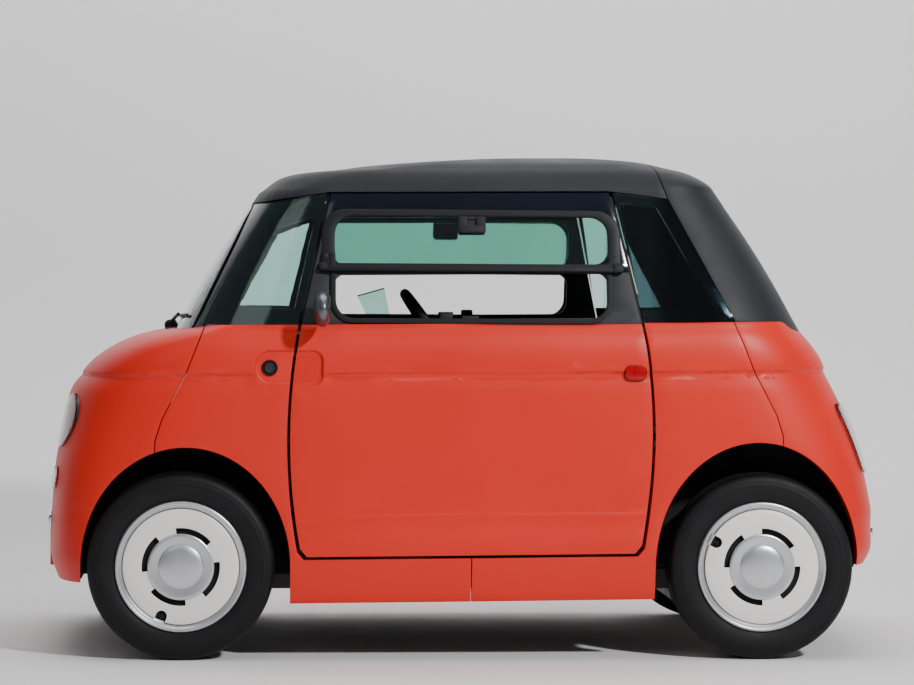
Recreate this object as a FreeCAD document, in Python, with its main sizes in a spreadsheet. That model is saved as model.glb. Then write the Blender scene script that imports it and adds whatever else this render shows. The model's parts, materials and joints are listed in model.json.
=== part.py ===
import FreeCAD, Part
import math
import os
from FreeCAD import Placement, Rotation, Vector

# Microcar: two seats, closed cabin, electric drive at the front axle.
# +X points forward, +Y to the left side, +Z up.
# The origin lies on the floor under the middle of the car's outline.

doc = FreeCAD.newDocument("Microcar")
sheet = doc.addObject("Spreadsheet::Sheet", "Sizes")

# Driving dimensions in millimetres, angles in degrees.
SIZES = [
    # Whole car
    ("length", 2535),           # over the front and rear trim bars
    ("width", 1400),            # over the lower edge of the doors
    ("height", 1510),           # floor to the crown of the roof
    ("rake_percent", 1.1),      # the body stands this much lower in front
    ("front_overhang", 413),    # front axle to the front end
    ("wheelbase", 1728),
    ("trim_proud", 9),          # trim bars stand this far off the bumpers
    # Levels of the body, on its middle station
    ("sill_level", 175),
    ("bumper_foot_front", 240), # the bumpers end higher than the sills
    ("bumper_foot_rear", 265),
    ("door_foot_level", 314),
    ("low_crease_level", 437),
    ("lip_level", 844),
    ("belt_level", 999),
    ("gutter_level", 1388),
    # Plan shape of the body
    ("corner_start", 700),      # the nose and tail corners start to round here
    ("corner_start_low", 800),  # the same at the bumpers
    ("corner_power", 3.6),
    ("corner_power_low", 4.6),
    ("belt_inset", 43),         # the belt lies this far inside the width
    ("gutter_inset", 142),      # the gutter lies this far inside the width
    ("wall", 32),               # body panels and doors, lower part
    ("frame_wall", 30),         # window frames and roof
    ("glass", 5),
    # Shut lines
    ("door_gap", 9),
    ("panel_gap", 3),
    ("seat_gap", 0.4),          # pieces seated on a curved skin
    # Door
    ("door_centre", -3),        # middle of the door along the car
    ("door_half", 536),         # half of the door's greatest length
    ("door_belt_half", 505),
    ("door_top_half", 417),
    ("door_foot_half", 507),
    ("door_corner", 20),
    ("door_bulge", 0.62),       # share of the height from foot to belt where it is longest
    # Door window
    ("window_half", 410),
    ("window_foot_level", 1013),
    ("window_head_level", 1316),
    ("window_corner", 38),
    ("window_bar_level", 1160),
    ("window_bar", 26),
    ("flap_half", 446),
    ("flap_band", 30),
    ("flap_depth", 12),
    ("flap_lift", 5.5),         # its ends clear the fixed glass by this much
    ("flap_head_level", 1334),
    # Wheels
    ("tyre_radius", 278),
    ("tyre_width", 155),
    ("tyre_shoulder", 21),
    ("tyre_bulge_drop", 42),    # the side wall is widest this far inside the tread
    ("rim_radius", 195),
    ("rim_width", 128),
    ("rim_wall", 9),
    ("hub_radius", 52),
    ("hub_length", 42),
    ("bore_radius", 20.05),
    ("axle_radius", 20),
    ("track", 1200),
    ("cover_inset", 16),
    ("cap_radius", 99),
    ("cap_dome_radius", 66),
    ("slot_inner_radius", 98),
    ("slot_outer_radius", 113),
    ("slot_angle", 62),
    # Wheel arches
    ("arch_half", 309),
    ("arch_rise", 362),         # axle level to the top of the arch
    ("screen_foot_inset", 384), # windscreen and rear window, measured from the nose and tail
    ("screen_head_inset", 624),
    ("tail_foot_inset", 236),
    ("tail_head_inset", 478),
    ("roof_side_half", 415),    # half of the roof's straight edge over the door
    ("roof_side_rise", 6),
    ("roof_rear_end", 594),
    ("roof_rear_drop", 18),
    ("header_drop", 21),        # roof's edge over the windscreen, below the gutter
    ("roof_seat", 0.5),
    ("glass_seam", 3),
    ("arch_shift", 13),         # arch centre lies this far towards the doors
    ("liner_grow", 2),          # liners lie this far outside the arch's form
    ("liner_wall", 3),
    ("liner_foot_front", 230),
    ("liner_foot_rear", 267),
    ("liner_start_front", 372), # inner wall of the liner, from the car's middle
    ("liner_start_rear", 440),
    # Steering and suspension
    ("kingpin_offset", 25),     # kingpin axis inboard of the wheel's middle
    ("kingpin_radius", 14),
    ("kingpin_bore", 14.05),
    ("kingpin_half", 128),
    ("sweep_clearance", 7),
    ("arm_width", 60),
    ("arm_height", 26),
    # Steering wheel
    ("steer_radius", 172),
    ("steer_grip", 15),
    ("steer_centre_x", 88),
    ("steer_centre_z", 957),
    ("steer_tilt", 35),
    ("driver_offset", 285),
    ("column_radius", 22),
    # Chassis
    ("rail_offset", 300),
    ("rail_size", 60),
    ("rail_level", 182),
    ("floor_thickness", 12),
    ("floor_side_gap", 11.5),
    ("bulkhead_side_gap", 8),
    ("bulkhead_front", 520),
    ("bulkhead_rear", -540),
    # Lamps and trim bars
    ("lamp_gap", 0.4),
    ("headlamp_offset", 450),
    ("headlamp_level", 714),
    ("headlamp_radius", 80),
    ("indicator_radius", 34),
    ("tail_lamp_offset", 500),
    ("tail_lamp_level", 642),
    ("tail_lamp_half_width", 62),
    ("tail_lamp_half_height", 104),
    ("bar_level_front", 411),
    ("bar_level_rear", 346),
    ("bar_half_height", 17),
    ("bar_half_length", 420),
    ("rail_end_gap", 150),
    ("bulkhead_rise", 640),
    ("shelf_depth", 380),
    ("shelf_half", 560),
    ("motor_length", 260),
    ("motor_half", 150),
    ("motor_height", 220),
    ("shaft_radius", 13),
    ("upright_half", 22),
    ("hub_start", 8),
    ("trail_length", 230),
    ("trail_offset", 490),
    ("trail_width", 34),
    ("slot_start", 22),
    ("steer_shaft_radius", 12),
    ("column_length", 300),
    ("dash_depth", 190),
    ("dash_level", 961),
    ("dash_height", 240),
    # Seats
    ("seat_back_x", -330),
    ("seat_length", 470),
    ("seat_half", 215),
    ("seat_level", 400),
    ("seat_thickness", 120),
    ("seat_back_thickness", 100),
    ("seat_back_height", 500),
    ("seat_lean", 14),
    # Mirrors
    ("mirror_x", 440),
    ("mirror_offset", 748),
    ("mirror_level", 1042),
    ("mirror_half_height", 53),
    ("mirror_half_depth", 29),
    ("mirror_half_width", 78),
    ("mirror_rounding", 12),
    ("mirror_arm_radius", 11),
    # Hinges
    ("hinge_pin_radius", 2),
    ("hinge_bore_radius", 2.05),
    ("hinge_outer_radius", 3.6),
    ("hinge_inset", 13),
    ("hinge_seat", 0.5),
    ("hinge_length", 20),
    ("hinge_pitch", 40),
    # Mounts
    ("plate_half_length", 262),
    ("plate_half_height", 58),
    ("plate_level_front", 306),
    ("plate_level_rear", 560),
    ("plate_setback_front", -2),
    ("plate_setback_rear", 14),
    ("plate_hole_radius", 3),
    ("plate_hole_spacing", 300),
]
for row, (alias, value) in enumerate(SIZES, start=1):
    sheet.set(f"A{row}", alias)
    sheet.set(f"B{row}", str(value))
    sheet.setAlias(f"B{row}", alias)
doc.recompute()


def size(alias):
    """The value of one cell of the sheet."""
    return float(getattr(sheet, alias))


nodes = []


def keep(name, obj):
    """Name a finished sub-part."""
    obj.Label = name
    nodes.append(obj)
    return obj


def solid_node(name, shape, place=Vector(0, 0, 0)):
    """A sub-part whose form comes from the body's own curves."""
    obj = doc.addObject("Part::Feature", name)
    if shape.ShapeType == "Compound" and len(shape.Solids) == 1:
        shape = shape.Solids[0]
    obj.Shape = shape
    obj.Placement = Placement(place, Rotation())
    return keep(name, obj)


# Derived places
half_length = size("length") / 2
half_width = size("width") / 2
rake = size("rake_percent") / 100
front_axle = half_length - size("front_overhang")
rear_axle = front_axle - size("wheelbase")
wheel_y = size("track") / 2
kingpin_y = wheel_y - size("kingpin_offset")
axle_z = size("tyre_radius")
nose = half_length - size("trim_proud")
far = size("width")


def lift(x, z):
    """Body level to height over the floor, with the car's rake."""
    return z - x * rake


def between(low, high, share):
    return low + (high - low) * share


# Body outline


def outline(level, front, rear, half, front_corner, rear_corner, power):
    """Left half of the plan: a straight side with rounded nose and tail corners."""
    steps = 6
    quarter = []
    for step in range(steps + 1):
        angle = math.pi / 2 * step / steps
        along = max(math.cos(angle), 0.0) ** (2 / power)
        across = max(math.sin(angle), 0.0) ** (2 / power)
        quarter.append((along, across * half))
    front_start = front - front_corner
    rear_start = rear + rear_corner
    front_half = [(front_start + along * front_corner, y) for along, y in quarter]
    rear_half = [(rear_start - along * rear_corner, y) for along, y in quarter]
    middle = (front_start + rear_start) / 2
    left = front_half + [(middle, half)] + rear_half[::-1]
    curve = Part.BSplineCurve()
    corners = [Vector(x, y, lift(x, level)) for x, y in left]
    curve.interpolate(Points=corners, InitialTangent=Vector(0, 1, 0), FinalTangent=Vector(0, -1, 0))
    middle_line = Part.LineSegment(corners[-1], corners[0])
    return Part.Wire([curve.toShape(), middle_line.toShape()])


def loft(outlines):
    return Part.makeLoft(outlines, True, False, False)


sill = size("sill_level")
foot = size("door_foot_level")
crease = size("low_crease_level")
lip = size("lip_level")
lip_top = lip + 12
belt = size("belt_level")
gutter = size("gutter_level")
crown = size("height")

# Stations of the lower body: level, setback of nose, setback of tail, inset of side
LOW_BAND = [
    (sill, 45, 70, 24),
    (between(sill, foot, 0.26), 32, 48, 12),
    (between(sill, foot, 0.72), 10, 18, 3),
    (foot, 1, 0, 0),
    (between(foot, crease, 0.67), 1, 0, 6),
    (crease, 3, 1, 11),
]
MID_BAND = [
    (crease, 3, 1, 11),
    (between(crease, lip, 0.35), 13, 31, 8),
    (between(crease, lip, 0.64), 34, 67, 9),
    (between(crease, lip, 0.86), 51, 107, 12),
    (between(crease, lip, 0.945), 73, 126, 14),
    (lip, 90, 137, 16),
]
LIP_BAND = [
    (lip, 90, 137, 16),
    (lip_top, 92, 135, 9),
]
BONNET_BAND = [
    (lip_top, 92, 135, 9),
    (between(lip_top, belt, 0.25), 126, 153, 11),
    (between(lip_top, belt, 0.43), 157, 171, 14),
    (between(lip_top, belt, 0.60), 203, 192, 19),
    (between(lip_top, belt, 0.73), 250, 209, 25),
    (between(lip_top, belt, 0.82), 303, 221, 31),
    (between(lip_top, belt, 0.90), 378, 229, 36),
    (belt, 458, 239, size("belt_inset")),
]


def station(level, setback, tail_setback, inset, skin=0.0):
    front = nose - setback - skin
    rear = -nose + tail_setback + skin
    share = min(max((level - crease) / (lip - crease), 0.0), 1.0)
    share = share * share * (3 - 2 * share)
    start = between(size("corner_start_low"), size("corner_start"), share)
    power = between(size("corner_power_low"), size("corner_power"), share)
    front_corner = max(front - start, 60)
    rear_corner = -rear - start
    return outline(level, front, rear, half_width - inset - skin, front_corner, rear_corner, power)


def steady(rows, column, place):
    """Value of a column at a place along the rows, with no overshoot."""
    lengths = row_lengths(rows)
    values = [row[column] for row in rows]
    last = len(rows) - 1
    slopes = [(values[i + 1] - values[i]) / (lengths[i + 1] - lengths[i]) for i in range(last)]
    tangents = [slopes[0]]
    for i in range(1, last):
        product = slopes[i - 1] * slopes[i]
        total = slopes[i - 1] + slopes[i]
        tangents.append(2 * product / total if product > 0 else 0.0)
    tangents.append(slopes[-1])
    i = 0
    while i < last - 1 and lengths[i + 1] < place:
        i += 1
    step = lengths[i + 1] - lengths[i]
    t = (place - lengths[i]) / step
    return ((2 * t ** 3 - 3 * t ** 2 + 1) * values[i]
            + (t ** 3 - 2 * t ** 2 + t) * step * tangents[i]
            + (3 * t ** 2 - 2 * t ** 3) * values[i + 1]
            + (t ** 3 - t ** 2) * step * tangents[i + 1])


def row_lengths(rows):
    """Distance along the nose profile to each row."""
    lengths = [0.0]
    for before, after in zip(rows, rows[1:]):
        lengths.append(lengths[-1] + math.hypot(after[0] - before[0], after[1] - before[1]))
    return lengths


def even_rows(rows, count):
    """The same profile with evenly spaced stations."""
    total = row_lengths(rows)[-1]
    columns = range(len(rows[0]))
    return [tuple(steady(rows, column, total * i / (count - 1)) for column in columns)
            for i in range(count)]


def band(rows, skin=0.0):
    count = 2 if len(rows) == 2 else 7
    return loft([station(*row, skin=skin) for row in even_rows(rows, count)])


lower = band(LOW_BAND)
for rows in (MID_BAND, LIP_BAND, BONNET_BAND):
    lower = lower.fuse(band(rows))

wall = size("wall")
inner_rows = [(sill - 40, 45, 37, 24)]
inner_rows += [LOW_BAND[3], LOW_BAND[5], MID_BAND[2]]
inner_rows.append((lip - 1.6 * wall, 62, 115, 16))
inner_rows += [(row[0] - wall, row[1], row[2], row[3]) for row in BONNET_BAND[1:]]
lower_inner = loft([station(*row, skin=wall) for row in even_rows(inner_rows, 12)])
proud = band(LOW_BAND, -size("trim_proud")).fuse(band(MID_BAND, -size("trim_proud")))

# Stations of the cabin: level, front, rear, half width, front corner, rear corner, power
belt_half = half_width - size("belt_inset")
gutter_half = half_width - size("gutter_inset")
SIDE_RISE = gutter - belt


def cabin_half(level):
    share = (level - belt) / SIDE_RISE
    return between(belt_half, gutter_half, min(max(share, 0), 1.1))


screen_foot = nose - size("screen_foot_inset")
screen_head = nose - size("screen_head_inset")
tail_foot = -nose + size("tail_foot_inset")
tail_head = -nose + size("tail_head_inset")


def cabin_rows():
    rows = []
    for share in (-0.16, 0.0, 0.17, 0.38, 0.76, 0.95, 1.03):
        level = belt + share * SIDE_RISE
        bow = 10 * math.sin(math.pi * min(max(share, 0), 1))
        front = between(screen_foot, screen_head, share) + bow
        rear = between(tail_foot, tail_head, share) - bow
        corner = between(400, 235, min(max(share, 0), 1))
        rows.append((level, front, rear, cabin_half(level), corner, corner + 20, 4.2))
    return rows


roof_start = cabin_rows()[-1]


def roof_rows():
    level, front, rear, half = roof_start[:4]
    rise = crown - level
    rows = [roof_start]
    for share, f_in, r_in, side_in, corner, power in (
        (0.23, 34, 26, 11, 220, 3.9),
        (0.42, 69, 62, 25, 220, 3.6),
        (0.54, 137, 93, 40, 240, 3.3),
        (0.67, 263, 143, 68, 260, 3.0),
        (0.79, 389, 193, 118, 240, 2.8),
        (0.91, 574, 288, 238, 190, 2.6),
        (0.975, 744, 408, 388, 100, 2.4),
        (1.0, 826, 500, 500, 30, 2.2),
    ):
        rows.append((level + share * rise, front - f_in, rear + r_in, half - side_in,
                     corner, corner, power))
    return rows


def cabin_outline(row, skin=0.0, drop=0.0):
    level, front, rear, half, front_corner, rear_corner, power = row
    return outline(level - drop, front - skin, rear + skin, half - skin,
                   front_corner, rear_corner, power)


def cabin_solid(skin):
    """The cabin's outer form, moved inwards by a skin."""
    walls = [cabin_outline(row, skin) for row in cabin_rows()[:-1]]
    walls.append(cabin_outline(roof_start, skin, skin * 0.5))
    top_rows = roof_rows()
    tops = [cabin_outline(top_rows[0], skin, skin * 0.5)]
    tops += [cabin_outline(row, min(skin, 20), skin) for row in top_rows[1:-1]]
    tops.append(cabin_outline(top_rows[-1], 0, skin))
    return loft(walls).fuse(loft(tops))


cabin = cabin_solid(0.0)
glass_core = cabin_solid(size("glass"))
cabin_inner = cabin_solid(size("frame_wall"))
print("lofts", lower.isValid(), lower_inner.isValid(), cabin.isValid(), glass_core.isValid(),
      cabin_inner.isValid())


# Side-view cutters


def prism(points, low=-far, high=far):
    """Side-view polygon, given in body levels, run across the car."""
    corners = [Vector(x, low, lift(x, z)) for x, z in points]
    face = Part.Face(Part.makePolygon(corners + corners[:1]))
    return face.extrude(Vector(0, high - low, 0))


def curved_prism(edges, low=-far, high=far):
    face = Part.Face(Part.Wire(edges))
    face.translate(Vector(0, low, 0))
    return face.extrude(Vector(0, high - low, 0))


def side_point(x, z):
    return Vector(x, 0, lift(x, z))


def door_outline(grow):
    """Side view of the door, moved outwards by grow."""
    mid = size("door_centre")
    half = size("door_half") + grow
    belt_x = size("door_belt_half") + grow
    foot_x = size("door_foot_half") + grow
    top_x = size("door_top_half") + grow
    low = size("door_foot_level") - grow
    high = gutter + grow
    corner = size("door_corner")
    bulge = between(low, belt, size("door_bulge"))

    def edge_points(sign):
        return (side_point(mid + sign * (foot_x - corner), low),
                side_point(mid + sign * foot_x, low + corner * 1.2),
                side_point(mid + sign * half, bulge),
                side_point(mid + sign * belt_x, belt),
                side_point(mid + sign * top_x, high))

    front = edge_points(1)
    rear = edge_points(-1)
    edges = []
    for base, start, bulged, belt_end, top in (front, rear):
        edges.append(Part.LineSegment(base, start).toShape())
        edges.append(Part.Arc(start, bulged, belt_end).toShape())
        edges.append(Part.LineSegment(belt_end, top).toShape())
    edges.append(Part.LineSegment(front[0], rear[0]).toShape())
    edges.append(Part.LineSegment(front[4], rear[4]).toShape())
    return Part.__sortEdges__(edges)


def arch_prism(axle, towards_door, grow=0.0, start=-far, end=far):
    """Wheel arch: half an ellipse on straight legs, from start to end across the car."""
    centre = Vector(axle + towards_door * size("arch_shift"), 0, axle_z)
    half = size("arch_half") + grow
    rise = lift(axle, size("arch_rise")) + grow
    top = Vector(centre.x, 0, axle_z + rise)
    side = Vector(centre.x + half, 0, axle_z)
    ellipse = Part.Ellipse(top, side, centre) if rise > half else Part.Ellipse(side, top, centre)
    disc = Part.Face(Part.Wire([ellipse.toShape()]))
    disc.translate(Vector(0, start, 0))
    round_top = disc.extrude(Vector(0, end - start, 0))
    legs = Part.makeBox(2 * half, end - start, axle_z, Vector(centre.x - half, start, 0))
    return round_top.fuse(legs)


mid_x = size("door_centre")
gap = size("door_gap")
seam = size("panel_gap") / 2
top_z = crown + 200
low_z = -100

# The seam between nose and wing leans forward from the belt to the arch.
SPLIT = [(786, belt + 60), (786, belt), (842, belt - 142), (912, belt - 277), (932, belt - 340),
         (936, low_z)]


def split_line(sign, offset):
    shift = (half_length - 1267.5)
    return [(sign * (x + shift + offset), z) for x, z in SPLIT]


nose_region = prism(split_line(1, seam) + [(far, low_z), (far, belt + 60)])
tail_region = prism(split_line(-1, seam) + [(-far, low_z), (-far, belt + 60)])
beyond_nose = prism(split_line(1, -seam) + [(far, low_z), (far, belt + 60)])
beyond_tail = prism(split_line(-1, -seam) + [(-far, low_z), (-far, belt + 60)])
side_start = half_width - 320


def side_block(sign):
    """Left side of the body, in front of the door's middle or behind it."""
    start = mid_x + sign * seam
    return Part.makeBox(far, far, 2 * far, Vector(start if sign > 0 else start - far, side_start, low_z))


door_hole = curved_prism(door_outline(gap), 0)
door_form = curved_prism(door_outline(0), 0)

front_arch = arch_prism(front_axle, -1)
rear_arch = arch_prism(rear_axle, 1)
sweep_radius = math.hypot(axle_z, size("tyre_width") / 2 + size("kingpin_offset"))
sweep_radius += size("sweep_clearance")


def sweep(side, grow=0.0):
    return Part.makeSphere(sweep_radius + grow, Vector(front_axle, side * kingpin_y, axle_z))


lower_shell = lower.cut([lower_inner, cabin_inner])
lower_shell = lower_shell.cut([front_arch, rear_arch, sweep(1)])
print("shell", lower_shell.isValid(), len(lower_shell.Solids), round(lower_shell.Volume / 1e6, 1))


def mirrored(shape):
    return shape.mirror(Vector(0, 0, 0), Vector(0, 1, 0))


def both(half):
    """A panel that crosses the car's middle, from its left half."""
    return half.fuse(mirrored(half))


# Arch liners: dark inner arches, open below
front_well_start = size("liner_start_front")
rear_well_start = size("liner_start_rear")


def front_well(grow, wall_grow):
    """Space of the front wheel as it steers, with the arch's own form outboard."""
    space = arch_prism(front_axle, -1, grow, front_well_start - wall_grow, half_width)
    side = Part.makeBox(far, far, far, Vector(0, front_well_start - wall_grow, 0))
    return space.fuse(sweep(1, grow).common(side))


def rear_well(grow, wall_grow):
    return arch_prism(rear_axle, 1, grow, rear_well_start - wall_grow, half_width)


def liner(well, foot_z):
    """Thin wall round a wheel's space, ending at the inside of the body panels."""
    inner = size("liner_grow")
    shell = well(inner + size("liner_wall"), size("liner_wall")).cut(well(inner, 0))
    low_slab = Part.makeBox(4 * far, 4 * far, foot_z, Vector(-2 * far, -2 * far, 0))
    return shell.common(lower_inner).cut(low_slab)


arm_slot = Part.makeBox(size("arm_width") + 30, 60, 240,
                        Vector(front_axle - size("arm_width") / 2 - 15, front_well_start - 30, 190))
front_liner = liner(front_well, size("liner_foot_front")).cut(arm_slot)
solid_node("arch_liners_front", Part.makeCompound(front_liner.Solids + mirrored(front_liner).Solids))
vent = prism([(-797, 574), (-842, 560), (-868, 572), (-833, 650), (-806, 652)],
             rear_well_start - 20, rear_well_start + 20)
rear_liner = liner(rear_well, size("liner_foot_rear")).cut(vent)
solid_node("arch_liners_rear", Part.makeCompound(rear_liner.Solids + mirrored(rear_liner).Solids))

# Number plate seats
plate_pitch = size("plate_hole_spacing") / 2


def plate_face(sign):
    """Distance of the plate's flat seat from the car's middle."""
    return nose - size("plate_setback_front" if sign > 0 else "plate_setback_rear")


def plate_level(sign):
    return size("plate_level_front" if sign > 0 else "plate_level_rear")


def plate_block(sign, reach):
    """Space of the plate's plinth, from its flat seat inwards."""
    face_x = plate_face(sign)
    x0 = face_x - reach if sign > 0 else -face_x
    return Part.makeBox(reach, size("plate_half_length"), 2 * size("plate_half_height"),
                        Vector(x0, 0, plate_level(sign) - size("plate_half_height")))


def plate_hole(sign):
    """One of the plate's two screw holes."""
    start_x = sign * (plate_face(sign) - 90)
    return Part.makeCylinder(size("plate_hole_radius"), 180,
                             Vector(start_x, plate_pitch, plate_level(sign)), Vector(sign, 0, 0))


def plinth(sign):
    """Plate plinth, standing on the bumper and moulded with it."""
    return plate_block(sign, 60).cut(lower_inner)


# Lamps and trim bars are set in the proud form of the bumpers
lamp_shell = proud.cut(lower_inner)
lamp_y = size("headlamp_offset")
headlamp_z = lift(nose, size("headlamp_level"))


def lamp_bore(grow):
    """The round pocket of the left headlamp."""
    return Part.makeCylinder(size("headlamp_radius") + grow, far,
                             Vector(front_axle, lamp_y, headlamp_z), Vector(1, 0, 0))


def indicator_form(grow):
    centre = Vector(front_axle, lamp_y + 8, headlamp_z - size("headlamp_radius") - 92)
    return Part.makeCylinder(size("indicator_radius") + grow, far, centre, Vector(1, 0, 0))


def tail_lamp_form(grow):
    """Upright rounded block of the left tail lamp."""
    half_w = size("tail_lamp_half_width") + grow
    half_t = size("tail_lamp_half_height") + grow
    z = lift(-nose, size("tail_lamp_level"))
    block = Part.makeBox(far, 2 * half_w, 2 * half_t,
                         Vector(rear_axle - far, size("tail_lamp_offset") - half_w, z - half_t))
    edges = [e for e in block.Edges if abs(e.tangentAt(e.FirstParameter).x) > 0.99]
    return block.makeFillet(30 + grow, edges)


def under_bumper(sign):
    """Space under a bumper, from its axle outwards."""
    start = front_axle if sign > 0 else rear_axle
    foot_level = size("bumper_foot_front" if sign > 0 else "bumper_foot_rear")
    return prism([(start, low_z), (sign * far, low_z), (sign * far, foot_level), (start, foot_level)])


lamp_gap = size("lamp_gap")
nose_panel = lower_shell.common(nose_region).cut(under_bumper(1))
lamp_cuts = [lamp_bore(lamp_gap), indicator_form(lamp_gap)]
nose_panel = nose_panel.fuse(plinth(1)).cut([plate_hole(1)] + lamp_cuts)
solid_node("front_panel", both(nose_panel))
tail_panel = lower_shell.common(tail_region).cut(under_bumper(-1))
tail_panel = tail_panel.fuse(plinth(-1)).cut([plate_hole(-1), tail_lamp_form(lamp_gap)])
solid_node("rear_panel", both(tail_panel))

headlamp = lamp_shell.common(lamp_bore(0))
indicator = lamp_shell.common(indicator_form(0))
tail_lamp = lamp_shell.common(tail_lamp_form(0))
solid_node("headlamp_left", headlamp)
solid_node("headlamp_right", mirrored(headlamp))
solid_node("indicator_left", indicator)
solid_node("indicator_right", mirrored(indicator))
solid_node("tail_lamp_left", tail_lamp)
solid_node("tail_lamp_right", mirrored(tail_lamp))


def trim_bar(sign, level):
    """Bright bar across a bumper, proud of the panel."""
    half = size("bar_half_height")
    reach = size("bar_half_length")
    z = lift(sign * nose, level)
    x0 = front_axle if sign > 0 else rear_axle - far
    block = Part.makeBox(far, reach, 2 * half, Vector(x0, 0, z - half))
    return both(proud.cut(lower).common(block))


solid_node("front_trim_bar", trim_bar(1, size("bar_level_front")))
solid_node("rear_trim_bar", trim_bar(-1, size("bar_level_rear")))

# Hinges: pins on the body and eyes on the door, in the shut line at its widest level
shut_arcs = [edge for edge in door_outline(gap / 2) if edge.Curve.TypeId == "Part::GeomCircle"]
rear_shut = min(shut_arcs, key=lambda edge: edge.CenterOfMass.x).Curve
hinge_x = mid_x - (rear_shut.Center.x - rear_shut.Radius)
hinge_y = half_width - size("hinge_inset")
pin_r = size("hinge_pin_radius")
eye_r = size("hinge_outer_radius")
hinge_half = size("hinge_length") / 2
hinge_web = gap / 2 - size("hinge_seat")
HINGE_HEIGHTS = (rear_shut.Center.z - size("hinge_pitch") / 2,
                 rear_shut.Center.z + size("hinge_pitch") / 2)
print("hinge axis", mid_x - hinge_x, hinge_y, rear_shut.Center.z, "radius", rear_shut.Radius)


def hinge_leaf(x, z, tall, towards):
    """One knuckle with the web that ties it to its edge."""
    eye = Part.makeCylinder(eye_r, tall, Vector(x, hinge_y, z))
    start = x - hinge_web if towards < 0 else x
    web = Part.makeBox(hinge_web, eye_r, tall, Vector(start, hinge_y - eye_r, z))
    return eye.fuse(web)


def hinge_pins():
    """Body half, drawn for the left side with its door edge at the rear."""
    x = mid_x - hinge_x
    shapes = []
    for height in HINGE_HEIGHTS:
        z = height - hinge_half
        pin = Part.makeCylinder(pin_r, 2 * hinge_half, Vector(x, hinge_y, z))
        leaves = [hinge_leaf(x, z, hinge_half / 2, -1),
                  hinge_leaf(x, z + hinge_half * 1.5, hinge_half / 2, -1)]
        shapes.append(pin.fuse(leaves))
    return shapes


def hinge_eyes():
    """Door half of the same hinges."""
    x = mid_x - hinge_x
    shapes = []
    for height in HINGE_HEIGHTS:
        z = height - hinge_half / 2 + 0.5
        tall = hinge_half - 1
        bore = Part.makeCylinder(size("hinge_bore_radius"), tall, Vector(x, hinge_y, z))
        shapes.append(hinge_leaf(x, z, tall, 1).cut(bore))
    return shapes


def turned(shape):
    """The same piece at the other side's front edge, lowered by the rake."""
    copy = shape.copy()
    copy.rotate(Vector(mid_x, 0, 0), Vector(0, 0, 1), 180)
    copy.translate(Vector(0, 0, -2 * hinge_x * rake))
    return copy


def with_hinges(base, pieces):
    """A moulding and the metal hinge halves that sit against its edge."""
    return Part.makeCompound(base.Solids + [solid for piece in pieces for solid in piece.Solids])


side_front = lower_shell.common(side_block(1)).cut([beyond_nose, door_hole])
side_rear = lower_shell.common(side_block(-1)).cut([beyond_tail, door_hole])
pins = hinge_pins()
solid_node("side_panel_front_left", side_front)
solid_node("side_panel_rear_left", with_hinges(side_rear, pins))
solid_node("side_panel_front_right", with_hinges(mirrored(side_front), [turned(pin) for pin in pins]))
solid_node("side_panel_rear_right", mirrored(side_rear))

door_low = lower_shell.common(door_form)
door_low = door_low.cut(prism([(-far, belt), (far, belt), (far, top_z), (-far, top_z)]))
eyes = hinge_eyes()
solid_node("door_shell_left", with_hinges(door_low, eyes))
solid_node("door_shell_right", with_hinges(mirrored(door_low), [turned(eye) for eye in eyes]))

# Cabin pieces
frame_shell = glass_core.cut([cabin_inner, lower])
skin_shell = cabin.cut([glass_core, lower])
full_shell = cabin.cut([cabin_inner, lower])

header_x = screen_head + 4
header_level = gutter - size("header_drop")
roof_side = size("roof_side_half")
roof_side_level = gutter + size("roof_side_rise")
roof_rear = (-size("roof_rear_end"), gutter - size("roof_rear_drop"))
roof_line = [roof_rear, (-roof_side, roof_side_level), (roof_side, roof_side_level),
             (header_x - 25, header_level), (header_x + 40, header_level), (far, gutter + 20)]
roof_tail = [(roof_rear[0] + 38, crown - 30), (roof_rear[0] + 54, top_z)]
roof_region = prism(roof_line + [(far, top_z)] + roof_tail[::-1])


def under_roof(drop):
    """All that lies below the roof's lower edge, with a seam of this drop."""
    line = [(x, level - drop) for x, level in roof_line]
    return prism([(-far, line[0][1])] + line + [(far, low_z), (-far, low_z)])


# The rear upper panel meets the quarter in a line that falls to the rear
tail_seam = [(x - size("glass_seam"), level) for x, level in [roof_rear] + roof_tail]
tail_side_foot = (-797, belt - 10)
tail_top_region = prism(tail_seam + [(-far, top_z), (-far, low_z), (-800, low_z), tail_side_foot])


def quarter_rear(level):
    """Point of the rear quarter's edge, seated against the upper panel."""
    top_x, top_level = tail_seam[0]
    share = (level - top_level) / (tail_side_foot[1] - top_level)
    return (between(top_x, tail_side_foot[0], share) + size("roof_seat"), level)


pillar_top = (header_x - 22, gutter + 40)
pillar_foot = (838, belt - 30)
screen_region = prism([pillar_top, (far, gutter + 40), (far, low_z), (845, low_z), pillar_foot])
screen_open = prism([(pillar_top[0] + 14, gutter), (far, gutter), (far, belt - 5),
                     (pillar_foot[0] + 14, belt - 5)])


def quarter(points, low=0):
    return prism(points, low)


front_quarter = quarter([(601, gutter - 28), (417 + gap, gutter - 3), (505 + gap, belt), (784, belt),
                         (800, belt - 20), (834, belt - 30)])
front_clear = quarter([(571, gutter - 104), (461, gutter - 68), (523, belt + 47), (693, belt + 52)])
rear_quarter = quarter([quarter_rear(roof_side_level), (-421 - gap, roof_side_level),
                        (-511 - gap, belt), quarter_rear(belt)])
rear_clear = quarter([(-564, gutter - 47), (-453, gutter - 31), (-501 - gap, belt + 34),
                      (-735, belt + 34)])

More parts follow.
